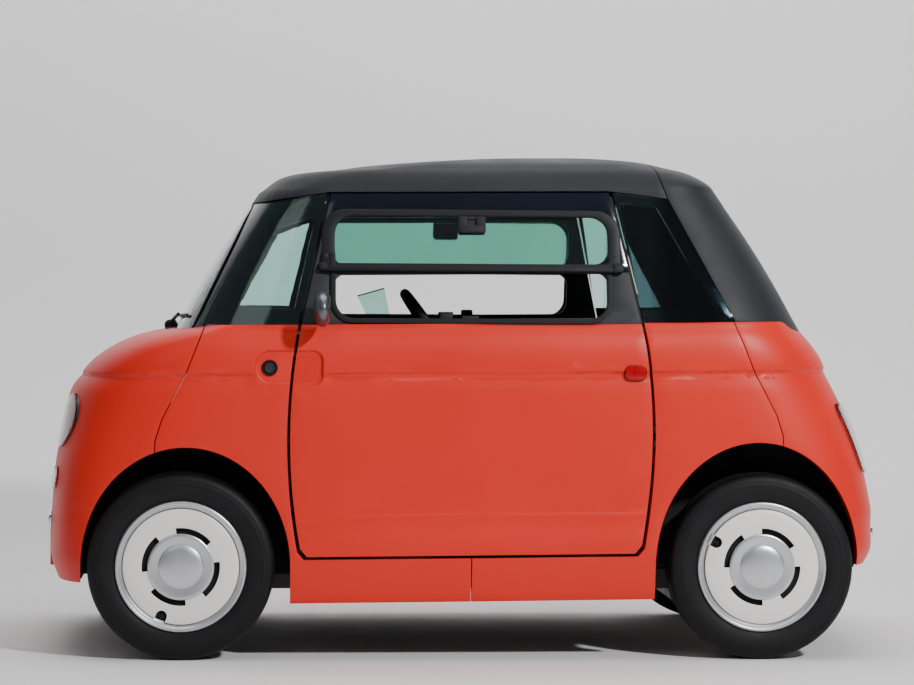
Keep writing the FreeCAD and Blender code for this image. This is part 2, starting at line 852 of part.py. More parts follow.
under_glass_seam = under_roof(size("glass_seam"))
under_seat = under_roof(size("roof_seat"))
windscreen = skin_shell.common(screen_region).common(under_glass_seam)
solid_node("windscreen", both(windscreen))
front_glass = skin_shell.common(front_quarter)
solid_node("quarter_glass_front_left", front_glass)
solid_node("quarter_glass_front_right", mirrored(front_glass))
rear_glass = skin_shell.common(rear_quarter).common(under_glass_seam)
solid_node("quarter_glass_rear_left", rear_glass)
solid_node("quarter_glass_rear_right", mirrored(rear_glass))

front_frame_region = prism([(415 + gap, gutter + 8), (far, top_z), (far, low_z),
                            (505 + gap, low_z), (505 + gap, belt)])
front_frame = frame_shell.common(front_frame_region).common(under_seat)
front_frame = front_frame.cut([screen_open, front_clear])
solid_node("windscreen_frame", both(front_frame))
rear_frame = frame_shell.common(rear_quarter).common(under_seat).cut(rear_clear)
solid_node("rear_frame_left", rear_frame)
solid_node("rear_frame_right", mirrored(rear_frame))

roof = full_shell.common(roof_region)
solid_node("roof_panel", both(roof))
tail_top = full_shell.common(tail_top_region)
rear_window_form = Part.makeBox(far, 2 * 430, 300, Vector(-far - 620, -430, 1060))
tail_window = skin_shell.common(tail_top_region).common(rear_window_form)
tail_top = tail_top.cut(skin_shell.common(Part.makeBox(far, 861, 301, Vector(-far - 620, -430.5, 1059.5))))
tail_top = tail_top.cut(Part.makeBox(far, 2 * 400, 240, Vector(-far - 620, -400, 1090)))
solid_node("rear_upper_panel", both(tail_top))
solid_node("rear_window", both(tail_window))

# Door frames with their window
win = size("window_half")
bar = size("window_bar")
bar_z = size("window_bar_level")


def rounded_window(half, low, high, corner, y_low=0):
    """Window opening with rounded corners."""
    box = prism([(mid_x - half, low), (mid_x + half, low), (mid_x + half, high),
                 (mid_x - half, high)], y_low)
    edges = [e for e in box.Edges if abs(e.tangentAt(e.FirstParameter).y) > 0.99]
    return box.makeFillet(corner, edges)


low_window = rounded_window(win, size("window_foot_level"), bar_z - bar / 2, size("window_corner"))
high_window = rounded_window(win, bar_z + bar / 2, size("window_head_level"), size("window_corner"))
door_high = full_shell.common(door_form)
door_frame = door_high.cut([low_window, high_window])
solid_node("door_frame_left", door_frame)
solid_node("door_frame_right", mirrored(door_frame))
pane_form = rounded_window(win - 0.3, bar_z + bar / 2 + 0.3, size("window_head_level") - 0.3,
                           size("window_corner"))
inner_pane = glass_core.common(pane_form).cut(cabin_solid(2 * size("glass")))
solid_node("door_glass_left", inner_pane)
solid_node("door_glass_right", mirrored(inner_pane))

# Flap window, folded up against the upper glass
flap_offset = size("flap_depth")
flap_out = rounded_window(size("flap_half"), bar_z, size("flap_head_level"), size("window_corner") * 1.3)
flap_in = rounded_window(size("flap_half") - size("flap_band"), bar_z + size("flap_band") * 0.6,
                         size("flap_head_level") - size("flap_band"), size("window_corner"))
near_skin = cabin_solid(-size("seat_gap"))
flap_skin = cabin_solid(-flap_offset).cut(near_skin)
flap = flap_skin.common(flap_out)
flap_pane = cabin_solid(-flap_offset * 0.75).cut(cabin_solid(-flap_offset * 0.35)).common(flap_in)
flap = flap.cut(flap_in).fuse(flap_pane)
flap = flap.cut(cabin_solid(-size("flap_lift")).cut(door_form))
solid_node("window_flap_left", flap)
solid_node("window_flap_right", mirrored(flap))



# Primitives bound to the sheet

FRONT_AXLE = "(Sizes.length / 2 - Sizes.front_overhang)"
REAR_AXLE = "(Sizes.length / 2 - Sizes.front_overhang - Sizes.wheelbase)"
KINGPIN_Y = "(Sizes.track / 2 - Sizes.kingpin_offset)"
RAIL_TOP = "(Sizes.rail_level + Sizes.rail_size)"


def primitive(kind, name, place, sizes, turn=None):
    """A primitive whose place and sizes are expressions."""
    obj = doc.addObject(kind, name)
    for property_name, text in sizes.items():
        obj.setExpression(property_name, str(text))
    if turn is not None:
        obj.Placement = Placement(Vector(0, 0, 0), turn)
    for axis, text in zip("xyz", place):
        obj.setExpression(f"Placement.Base.{axis}", str(text))
    return obj


def box(name, place, length, width, height):
    sizes = {"Length": length, "Width": width, "Height": height}
    return primitive("Part::Box", name, place, sizes)


UP = Rotation(Vector(0, 0, 1), 0)
ALONG_LEFT = Rotation(Vector(1, 0, 0), -90)
ALONG_RIGHT = Rotation(Vector(1, 0, 0), 90)


def rod(name, place, radius, height, turn=UP):
    return primitive("Part::Cylinder", name, place, {"Radius": radius, "Height": height}, turn)


def joined(name, pieces):
    obj = doc.addObject("Part::MultiFuse", name)
    obj.Shapes = pieces
    return obj


def bored(name, base, tool):
    obj = doc.addObject("Part::Cut", name)
    obj.Base = base
    obj.Tool = tool
    return obj


# Chassis: two rails, cross members and bumper stubs
RAIL_START = "-Sizes.length / 2 + Sizes.rail_end_gap"
rails = []
for side in (1, -1):
    low_y = f"{side} * Sizes.rail_offset - Sizes.rail_size / 2"
    rails.append(box(f"rail_{'left' if side > 0 else 'right'}", (RAIL_START, low_y, "Sizes.rail_level"),
                     "Sizes.length - 2 * Sizes.rail_end_gap", "Sizes.rail_size", "Sizes.rail_size"))
cross_places = {
    "cross_nose": "Sizes.length / 2 - Sizes.rail_end_gap - Sizes.rail_size",
    "cross_front": f"{FRONT_AXLE} - Sizes.rail_size / 2",
    "cross_seat": "Sizes.bulkhead_front - 400",
    "cross_back": "Sizes.bulkhead_rear + 60",
    "cross_tail": RAIL_START,
}
for name, x in cross_places.items():
    rails.append(box(name, (x, "-Sizes.rail_offset", "Sizes.rail_level"),
                     "Sizes.rail_size", "2 * Sizes.rail_offset", "Sizes.rail_size"))
keep("chassis_frame", joined("chassis_frame", rails))

# Floor with its two bulkheads and the rear shelf
FLOOR_HALF = "(Sizes.width / 2 - Sizes.wall - Sizes.floor_side_gap)"
FLOOR_TOP = "(Sizes.rail_level + Sizes.rail_size + Sizes.floor_thickness)"
floor_plate = box("floor_plate", ("Sizes.bulkhead_rear", f"-{FLOOR_HALF}", RAIL_TOP),
                  "Sizes.bulkhead_front - Sizes.bulkhead_rear", f"2 * {FLOOR_HALF}",
                  "Sizes.floor_thickness")
wall_front = box("bulkhead_front", ("Sizes.bulkhead_front - Sizes.floor_thickness",
                                    f"-{FLOOR_HALF} + Sizes.bulkhead_side_gap", FLOOR_TOP),
                 "Sizes.floor_thickness", f"2 * ({FLOOR_HALF} - Sizes.bulkhead_side_gap)", "Sizes.bulkhead_rise")
wall_rear = box("bulkhead_rear", ("Sizes.bulkhead_rear", f"-{FLOOR_HALF} + Sizes.bulkhead_side_gap", FLOOR_TOP),
                "Sizes.floor_thickness", f"2 * ({FLOOR_HALF} - Sizes.bulkhead_side_gap)", "Sizes.bulkhead_rise")
shelf = box("rear_shelf", ("Sizes.bulkhead_rear - Sizes.shelf_depth", "-Sizes.shelf_half",
                           f"{FLOOR_TOP} + Sizes.bulkhead_rise - Sizes.floor_thickness"),
            "Sizes.shelf_depth + 1", "2 * Sizes.shelf_half", "Sizes.floor_thickness")
keep("floor_pan", joined("floor_pan", [floor_plate, wall_front, wall_rear, shelf]))

# Drive unit with its half shafts, and the battery under the right seat
motor_block = box("motor_block", (f"{FRONT_AXLE} - Sizes.motor_length / 2", "-Sizes.motor_half",
                                  RAIL_TOP),
                  "Sizes.motor_length", "2 * Sizes.motor_half", "Sizes.motor_height")
shafts = [rod(f"half_shaft_{name}", (FRONT_AXLE, f"{side} * (Sizes.motor_half - 10)",
                                     "Sizes.tyre_radius"),
              "Sizes.shaft_radius", f"{KINGPIN_Y} - Sizes.motor_half - 50", turn)
          for name, side, turn in (("left", 1, ALONG_LEFT), ("right", -1, ALONG_RIGHT))]
keep("drive_unit", joined("drive_unit", [motor_block] + shafts))
keep("battery_pack", box("battery_pack", ("Sizes.seat_back_x + 30",
                                          "-Sizes.driver_offset - Sizes.seat_half + 15", FLOOR_TOP),
                         "Sizes.seat_length - 60", "2 * Sizes.seat_half - 30",
                         f"Sizes.seat_level - {FLOOR_TOP}"))
keep("seat_base_left", box("seat_base_left", ("Sizes.seat_back_x + 60",
                                              "Sizes.driver_offset - Sizes.seat_half + 45",
                                              FLOOR_TOP),
                           "Sizes.seat_length - 120", "2 * Sizes.seat_half - 90",
                           f"Sizes.seat_level - {FLOOR_TOP}"))

# Seats: plain forms of the soft cushions
for name, side in (("left", 1), ("right", -1)):
    cushion = box(f"seat_cushion_{name}", ("Sizes.seat_back_x",
                                           f"{side} * Sizes.driver_offset - Sizes.seat_half",
                                           "Sizes.seat_level + 0.3"),
                  "Sizes.seat_length", "2 * Sizes.seat_half", "Sizes.seat_thickness")
    back = primitive("Part::Box", f"seat_back_{name}",
                     ("Sizes.seat_back_x", f"{side} * Sizes.driver_offset - Sizes.seat_half",
                      "Sizes.seat_level + 0.3 + Sizes.seat_thickness - 30"),
                     {"Length": "Sizes.seat_back_thickness", "Width": "2 * Sizes.seat_half",
                      "Height": "Sizes.seat_back_height"},
                     Rotation(Vector(0, 1, 0), -size("seat_lean")))
    seat_raw = joined(f"seat_raw_{name}", [cushion, back])
    keep(f"seat_{name}", seat_raw)

# Front suspension: beam, arms and posts that carry the kingpins
PIN_LOW = "(Sizes.tyre_radius - Sizes.kingpin_half)"
PIN_HIGH = "(Sizes.tyre_radius + Sizes.kingpin_half)"
beam = box("suspension_beam", (f"{FRONT_AXLE} - Sizes.arm_width / 2",
                               "-Sizes.rail_offset - Sizes.rail_size / 2", PIN_LOW),
           "Sizes.arm_width", "2 * Sizes.rail_offset + Sizes.rail_size",
           f"Sizes.rail_level - {PIN_LOW}")
pieces = [beam]
eye_bores = []
for name, side in (("left", 1), ("right", -1)):
    rail_edge = "Sizes.rail_offset + Sizes.rail_size / 2"
    start = f"({rail_edge})" if side > 0 else f"-{KINGPIN_Y}"
    for level, z in (("low", PIN_LOW), ("high", f"{PIN_HIGH} - Sizes.arm_height")):
        pieces.append(box(f"arm_{level}_{name}", (f"{FRONT_AXLE} - Sizes.arm_width / 2", start, z),
                          "Sizes.arm_width", f"{KINGPIN_Y} - ({rail_edge})", "Sizes.arm_height"))
        pieces.append(rod(f"eye_{level}_{name}", (FRONT_AXLE, f"{side} * {KINGPIN_Y}", z),
                          "Sizes.arm_width / 2", "Sizes.arm_height"))
    post_start = f"({rail_edge} - 40)" if side > 0 else f"-({rail_edge})"
    pieces.append(box(f"post_{name}", (f"{FRONT_AXLE} - Sizes.arm_width / 2", post_start, RAIL_TOP),
                      "Sizes.arm_width", "40.5", f"{PIN_HIGH} - {RAIL_TOP}"))
    eye_bores.append(rod(f"eye_bore_{name}", (FRONT_AXLE, f"{side} * {KINGPIN_Y}",
                                              f"{PIN_LOW} - 10"),
                         "Sizes.kingpin_bore", "2 * Sizes.kingpin_half + 20"))
eye_bores.append(rod("shaft_passage", (FRONT_AXLE, f"-{KINGPIN_Y}", "Sizes.tyre_radius"),
                     "Sizes.shaft_radius + 6", f"2 * {KINGPIN_Y}", ALONG_LEFT))
suspension_raw = joined("suspension_raw", pieces)
passages = joined("suspension_passages", eye_bores)
keep("front_suspension", bored("front_suspension", suspension_raw, passages))

# Knuckles: kingpin, upright and stub axle
STUB_LENGTH = "(Sizes.kingpin_offset + Sizes.hub_start + Sizes.hub_length - 2)"
for name, side, turn in (("left", 1, ALONG_LEFT), ("right", -1, ALONG_RIGHT)):
    y = f"{side} * {KINGPIN_Y}"
    pin = rod(f"kingpin_{name}", (FRONT_AXLE, y, PIN_LOW), "Sizes.kingpin_radius",
              "2 * Sizes.kingpin_half")
    upright = box(f"upright_{name}", (f"{FRONT_AXLE} - Sizes.upright_half",
                                      f"{y} - Sizes.upright_half",
                                      f"{PIN_LOW} + Sizes.arm_height + 0.5"),
                  "2 * Sizes.upright_half", "2 * Sizes.upright_half",
                  "2 * Sizes.kingpin_half - 2 * Sizes.arm_height - 1")
    stub = rod(f"stub_{name}", (FRONT_AXLE, y, "Sizes.tyre_radius"), "Sizes.axle_radius",
               STUB_LENGTH, turn)
    keep(f"knuckle_{name}", joined(f"knuckle_{name}", [pin, upright, stub]))

# Rear axle: beam, trailing arms and stub axles
beam_x = f"{REAR_AXLE} + Sizes.trail_length - Sizes.arm_width"
rear_pieces = [box("rear_beam", (beam_x, "-Sizes.trail_offset", PIN_LOW),
                   "Sizes.arm_width", "2 * Sizes.trail_offset", f"Sizes.rail_level - {PIN_LOW}")]
for name, side, turn in (("left", 1, ALONG_LEFT), ("right", -1, ALONG_RIGHT)):
    low_y = f"{side} * Sizes.trail_offset - Sizes.trail_width / 2"
    rear_pieces.append(box(f"trailing_arm_{name}", (f"{REAR_AXLE} - Sizes.upright_half", low_y,
                                                    PIN_LOW),
                           "Sizes.trail_length + Sizes.upright_half", "Sizes.trail_width",
                           f"Sizes.rail_level - {PIN_LOW}"))
    rear_pieces.append(box(f"rear_upright_{name}", (f"{REAR_AXLE} - Sizes.upright_half", low_y,
                                                    PIN_LOW),
                           "2 * Sizes.upright_half", "Sizes.trail_width",
                           "Sizes.tyre_radius + 40 - " + PIN_LOW))
    rear_pieces.append(rod(f"rear_stub_{name}", (REAR_AXLE, f"{side} * Sizes.trail_offset",
                                                 "Sizes.tyre_radius"),
                           "Sizes.axle_radius",
                           "Sizes.track / 2 - Sizes.trail_offset + Sizes.hub_start"
                           " + Sizes.hub_length - 2", turn))
keep("rear_axle", joined("rear_axle", rear_pieces))

# Wheels


def spun(points):
    """Solid of revolution about Y from (radius, offset) points."""
    corners = [Vector(radius, offset, 0) for radius, offset in points]
    face = Part.Face(Part.makePolygon(corners + corners[:1]))
    return face.revolve(Vector(0, 0, 0), Vector(0, 1, 0), 360)


def tyre_shape():
    """Tyre section: bead, bulge of the side wall and edge of the tread."""
    bead = size("rim_radius") - 7
    bulge = size("tyre_radius") - size("tyre_bulge_drop")
    half = size("tyre_width") / 2
    one_side = [(bead + 0.3, size("rim_width") / 2 - 4.5), (bulge, half),
                (size("tyre_radius"), half - size("tyre_shoulder"))]
    other_side = [(radius, -y) for radius, y in reversed(one_side)]
    return spun(one_side + other_side)


def wheel_shape():
    """Rim, disc and cover of a left wheel, outer side towards +Y."""
    rim = size("rim_radius")
    bead = rim - 7
    inside = bead - size("rim_wall")
    half = size("rim_width") / 2
    face_y = half + 6
    cap = size("cap_radius")
    dome = size("cap_dome_radius")
    hub = size("hub_start")
    hub_end = hub + size("hub_length")
    bore = size("bore_radius")
    profile = [
        (rim, -half - 6), (rim, -half - 1), (bead, -half + 4), (bead, half - 4), (rim, half + 1),
        (rim, face_y + 3), (rim - 7, face_y + 5), (rim - 22, face_y), (rim - 24, face_y - 4),
        (rim - 27, face_y - 2), (slot_out, face_y + 3), (cap, face_y + 4), (cap - 2, face_y + 8),
        (dome + 2, face_y + 9), (dome, face_y + 12), (dome * 0.6, face_y + 15), (0, face_y + 16),
        (0, hub_end), (bore, hub_end), (bore, hub), (size("hub_radius"), hub),
        (size("hub_radius"), hub_end - 6), (inside - 12, hub_end - 2), (inside, hub_end - 8),
        (inside, -half), (rim - 6, -half - 6)]
    return spun(profile)


slot_out = size("slot_outer_radius")
slot_in = size("slot_inner_radius")


def cover_slots():
    """Four curved slots round the centre cap."""
    ring = Part.makeCylinder(slot_out, 80, Vector(0, 20, 0), Vector(0, 1, 0))
    ring = ring.cut(Part.makeCylinder(slot_in, 80, Vector(0, 20, 0), Vector(0, 1, 0)))
    angle = math.radians(size("slot_angle") / 2)
    reach = slot_out * 2
    wedge_points = [Vector(0, 20, 0), Vector(reach * math.cos(angle), 20, reach * math.sin(angle)),
                    Vector(reach * math.cos(angle), 20, -reach * math.sin(angle))]
    wedge = Part.Face(Part.makePolygon(wedge_points + wedge_points[:1])).extrude(Vector(0, 80, 0))
    slot = ring.common(wedge)
    slots = []
    for turn in range(4):
        copy = slot.copy()
        copy.rotate(Vector(0, 0, 0), Vector(0, 1, 0), 90 * turn + size("slot_start"))
        slots.append(copy)
    return slots


tyre = tyre_shape()
wheel = wheel_shape().cut(cover_slots())
for name, x, side in (("front_left", front_axle, 1), ("front_right", front_axle, -1),
                      ("rear_left", rear_axle, 1), ("rear_right", rear_axle, -1)):
    centre = Vector(x, side * wheel_y, axle_z)
    for kind, form in (("tyre", tyre), ("wheel", wheel)):
        shape = form if side > 0 else mirrored(form)
        solid_node(f"{kind}_{name}", shape, centre)

# Steering column, wheel and dashboard
tilt = math.radians(size("steer_tilt"))
steer_axis = Vector(math.cos(tilt), 0, -math.sin(tilt))
steer_centre = Vector(size("steer_centre_x"), size("driver_offset"), size("steer_centre_z"))
column_radius = size("column_radius")
shaft_radius = size("steer_shaft_radius")
column_start = steer_centre + steer_axis * 70
column = Part.makeCylinder(column_radius, size("column_length"), column_start, steer_axis)
column = column.cut(Part.makeCylinder(shaft_radius + 0.05, 90, column_start, steer_axis))
solid_node("steering_column", column)

grip = size("steer_grip")
ring_radius = size("steer_radius") - grip
rim_torus = Part.makeTorus(ring_radius, grip, steer_centre, steer_axis)
hub = Part.makeCylinder(44, 40, steer_centre + steer_axis * -6, steer_axis)
shaft = Part.makeCylinder(shaft_radius, 150, steer_centre, steer_axis)
spokes = []
for angle in (0, 180, 270):
    spoke = Part.makeBox(ring_radius, 30, 12, Vector(0, -15, -6))
    spoke.rotate(Vector(0, 0, 0), Vector(0, 0, 1), angle + 90)
    spoke.rotate(Vector(0, 0, 0), Vector(0, 1, 0), 90 + size("steer_tilt"))
    spoke.translate(steer_centre)
    spokes.append(spoke)
solid_node("steering_wheel", rim_torus.fuse([hub, shaft] + spokes))

dash_back = size("bulkhead_front") - size("floor_thickness") - 0.3
dash_half = half_width - wall - 60
dash_front = dash_back - size("dash_depth")
dash_top = size("dash_level")
dash_low = dash_top - size("dash_height")
dash_points = [Vector(dash_back, -dash_half, dash_low), Vector(dash_back, -dash_half, dash_top),
               Vector(dash_front + 50, -dash_half, dash_top),
               Vector(dash_front, -dash_half, dash_top - 45),
               Vector(dash_front + 30, -dash_half, dash_low)]
dash = Part.Face(Part.makePolygon(dash_points + dash_points[:1])).extrude(Vector(0, 2 * dash_half, 0))
dash = dash.cut(Part.makeCylinder(column_radius + 0.3, 900, column_start, steer_axis))
solid_node("dashboard", dash)

# Door mirrors: an oval housing on a short arm that seats on the window frame
mirror_half_width = size("mirror_half_width")
mirror_start = Vector(size("mirror_x"), size("mirror_offset") - mirror_half_width,
                      size("mirror_level"))
tall = Vector(0, 0, size("mirror_half_height"))
deep = Vector(size("mirror_half_depth"), 0, 0)
oval = Part.Face(Part.Wire([Part.Ellipse(mirror_start + tall, mirror_start + deep,
                                         mirror_start).toShape()]))
housing = oval.extrude(Vector(0, 2 * mirror_half_width, 0))
rims = [edge for edge in housing.Edges if edge.Closed]
housing = housing.makeFillet(size("mirror_rounding"), rims)
arm_start = mirror_start - Vector(0, mirror_half_width, size("mirror_half_height") / 2)
arm = Part.makeCylinder(size("mirror_arm_radius"), 2 * mirror_half_width, arm_start, Vector(0, 1, 0))
mirror = housing.fuse(arm).cut(near_skin)
solid_node("door_mirror_left", mirror)
solid_node("door_mirror_right", mirrored(mirror))

doc.recompute()
for obj in doc.Objects:
    if "Invalid" in obj.State or "Error" in obj.State:
        raise SystemExit(f"{obj.Name} failed: {obj.State}")
for obj in nodes:
    if obj.Shape.isNull() or not obj.Shape.isValid():
        raise SystemExit(f"{obj.Label} has no valid shape")
os.makedirs("parts", exist_ok=True)
for obj in nodes:
    shape = obj.Shape
    box = shape.BoundBox
    print(obj.Label, shape.ShapeType, len(shape.Solids), shape.isValid(),
          round(shape.Volume / 1e6, 2), [round(v) for v in (box.XMin, box.XMax, box.YMin, box.YMax,
                                                            box.ZMin, box.ZMax)])
    shape.exportStep(f"parts/{obj.Label}.step")
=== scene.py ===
# %% [markdown]
# # A two-seat microcar
# The real object is a tiny electric car with moulded plastic panels, a closed cabin and black roof.
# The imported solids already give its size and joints, so this lesson only dresses them:
# panels get rounded edges, wheels get their covers and treads, and every surface gets its finish.

# %% Load the frame
import bpy
import json
import math
from mathutils import Matrix, Vector
from mathutils.bvhtree import BVHTree


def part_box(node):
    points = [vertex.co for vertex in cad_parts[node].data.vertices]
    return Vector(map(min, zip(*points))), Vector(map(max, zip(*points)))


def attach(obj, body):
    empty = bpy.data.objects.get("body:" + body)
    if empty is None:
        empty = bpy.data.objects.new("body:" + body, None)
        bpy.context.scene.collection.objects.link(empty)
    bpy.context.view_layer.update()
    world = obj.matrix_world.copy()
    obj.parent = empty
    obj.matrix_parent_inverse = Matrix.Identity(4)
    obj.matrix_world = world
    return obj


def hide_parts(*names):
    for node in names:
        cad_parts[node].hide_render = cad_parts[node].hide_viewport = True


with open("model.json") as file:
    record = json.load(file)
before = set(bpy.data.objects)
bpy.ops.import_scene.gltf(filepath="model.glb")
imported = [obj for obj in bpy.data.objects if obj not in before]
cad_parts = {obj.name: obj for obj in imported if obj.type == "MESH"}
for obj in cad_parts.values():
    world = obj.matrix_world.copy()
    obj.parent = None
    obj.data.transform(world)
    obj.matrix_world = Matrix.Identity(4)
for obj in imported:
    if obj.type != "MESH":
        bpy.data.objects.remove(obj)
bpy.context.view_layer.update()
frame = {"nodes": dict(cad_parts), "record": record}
nodes = frame["nodes"]
MM = 0.001

# %% [markdown]
# The camera comes first, because every later choice is judged through it. The photo was taken from
# ten metres away with a long lens, so the side of the car looks almost flat. The three angles turn
# the camera a little off square, and its matrix is built from them.

# %% Camera
CAMERA_PLACE = Vector((0.68475, 10.11364, 1.1164))
CAMERA_YAW, CAMERA_PITCH, CAMERA_ROLL = -0.0679, -0.0183, 0.0061
SENSOR = 36.0
LENS = 125.94

look = Vector((math.sin(CAMERA_YAW) * math.cos(CAMERA_PITCH),
               -math.cos(CAMERA_YAW) * math.cos(CAMERA_PITCH), math.sin(CAMERA_PITCH)))
flat_right = Vector((-math.cos(CAMERA_YAW), -math.sin(CAMERA_YAW), 0.0))
flat_up = flat_right.cross(look)
right = flat_right * math.cos(CAMERA_ROLL) + flat_up * math.sin(CAMERA_ROLL)
up = flat_up * math.cos(CAMERA_ROLL) - flat_right * math.sin(CAMERA_ROLL)
bpy.ops.object.camera_add(location=CAMERA_PLACE)
camera = bpy.context.object
camera.name = "camera"
camera.data.sensor_width = SENSOR
camera.data.lens = LENS
turn = Matrix((right, up, -look)).transposed().to_4x4()
camera.matrix_world = Matrix.Translation(CAMERA_PLACE) @ turn
bpy.context.scene.camera = camera
print("camera looks along", [round(v, 3) for v in look])

# %% [markdown]
# A studio is a pale floor that bends up into a wall, with large soft lamps. The bend is one plane
# whose far edge is extruded upwards and bevelled, so no horizon line shows behind the car. Seen
# from behind, the paper lets the view through, so the car can be looked at from every side, and a
# second flat sheet carries the floor on behind the wall.

# %% Studio
FLOOR_HALF = 9.0
WALL_BACK = -3.2
WALL_HEIGHT = 6.0
WALL_BEND = 1.2
BACK_END = -14.0


def deselect():
    bpy.ops.object.select_all(action="DESELECT")


def select_only(piece):
    deselect()
    piece.select_set(True)
    bpy.context.view_layer.objects.active = piece


def add_mesh(name, vertices, faces):
    mesh = bpy.data.meshes.new(name)
    mesh.from_pydata([tuple(v) for v in vertices], [], faces)
    piece = bpy.data.objects.new(name, mesh)
    bpy.context.scene.collection.objects.link(piece)
    select_only(piece)
    return piece


deselect()
bpy.ops.mesh.primitive_plane_add(size=1, location=(0, 0, 0))
floor = bpy.context.object
floor.name = "floor"
floor.data.transform(Matrix.Diagonal((2 * FLOOR_HALF, 16.0, 1, 1)))
floor.data.transform(Matrix.Translation((0, 8.0 + WALL_BACK, 0)))
bpy.ops.object.mode_set(mode="EDIT")
bpy.ops.mesh.select_all(action="DESELECT")
bpy.ops.object.mode_set(mode="OBJECT")
for edge in floor.data.edges:
    edge.select = all(floor.data.vertices[i].co.y < WALL_BACK + 0.01 for i in edge.vertices)
bpy.ops.object.mode_set(mode="EDIT")
bpy.ops.mesh.extrude_region_move(TRANSFORM_OT_translate={"value": (0, 0, WALL_HEIGHT)})
bpy.ops.object.mode_set(mode="OBJECT")
for edge in floor.data.edges:
    ends = [floor.data.vertices[i].co for i in edge.vertices]
    edge.select = all(v.y < WALL_BACK + 0.01 and v.z < 0.01 for v in ends)
bpy.ops.object.mode_set(mode="EDIT")
bpy.ops.mesh.bevel(offset=WALL_BEND, segments=16, affect="EDGES")
bpy.ops.object.mode_set(mode="OBJECT")
bpy.ops.object.shade_smooth()
floor_back = add_mesh("floor_back", [
    (-FLOOR_HALF, BACK_END, 0), (FLOOR_HALF, BACK_END, 0),
    (FLOOR_HALF, WALL_BACK + WALL_BEND, 0), (-FLOOR_HALF, WALL_BACK + WALL_BEND, 0)],
    [(0, 1, 2, 3)])
paper = bpy.data.materials.new("studio_paper")
paper.use_nodes = True
paper_tree = paper.node_tree
paper_face = paper_tree.nodes.new("ShaderNodeBsdfDiffuse")
paper_face.inputs["Color"].default_value = (0.8, 0.8, 0.8, 1)
paper_gone = paper_tree.nodes.new("ShaderNodeBsdfTransparent")
paper_side = paper_tree.nodes.new("ShaderNodeNewGeometry")
paper_mix = paper_tree.nodes.new("ShaderNodeMixShader")
paper_tree.links.new(paper_side.outputs["Backfacing"], paper_mix.inputs[0])
paper_tree.links.new(paper_face.outputs[0], paper_mix.inputs[1])
paper_tree.links.new(paper_gone.outputs[0], paper_mix.inputs[2])
paper_tree.links.new(paper_mix.outputs[0], paper_tree.nodes["Material Output"].inputs["Surface"])
for sheet in (floor, floor_back):
    sheet.data.materials.append(paper)
faces_back = [face for face in floor.data.polygons if face.normal.y < -0.01 or face.normal.z < -0.01]
print("floor faces", len(floor.data.polygons), "turned over", len(faces_back))

# %% Lamps
LAMPS = [
    # name, place, aim, width, height, watts
    ("sun_lamp", (-4.0, 6.7, 5.1), (0, 0, 0.7), 0.5, 0.5, 620),
    ("sky_lamp", (2.8, 5.0, 4.2), (0, 0, 0.7), 3.2, 2.6, 26),
    ("top_lamp", (0.0, 0.8, 5.6), (0, 0, 0.6), 5.0, 3.0, 100),
    ("wall_lamp", (0.0, -0.9, 5.2), (0, -3.2, 1.2), 7.0, 1.2, 150),
]


def aim(place, target):
    return (Vector(target) - Vector(place)).to_track_quat("-Z", "Y").to_euler()


for lamp_name, place, target, width, height, watts in LAMPS:
    bpy.ops.object.light_add(type="AREA", location=place, rotation=aim(place, target))
    lamp = bpy.context.object
    lamp.name = lamp_name
    lamp.data.shape = "RECTANGLE"
    lamp.data.size = width
    lamp.data.size_y = height
    lamp.data.energy = watts
world = bpy.data.worlds.new("studio")
bpy.context.scene.world = world
world.use_nodes = True
world.node_tree.nodes["Background"].inputs["Color"].default_value = (0.93, 0.95, 1.0, 1)
world.node_tree.nodes["Background"].inputs["Strength"].default_value = 0.17
print("lamps", len(LAMPS))

# %% [markdown]
# Real surfaces are never one flat value. Each finish here starts from the same small recipe: a
# shader whose colour drifts a little, whose gloss drifts a little, and whose skin has a fine grain.

# %% Finish recipe


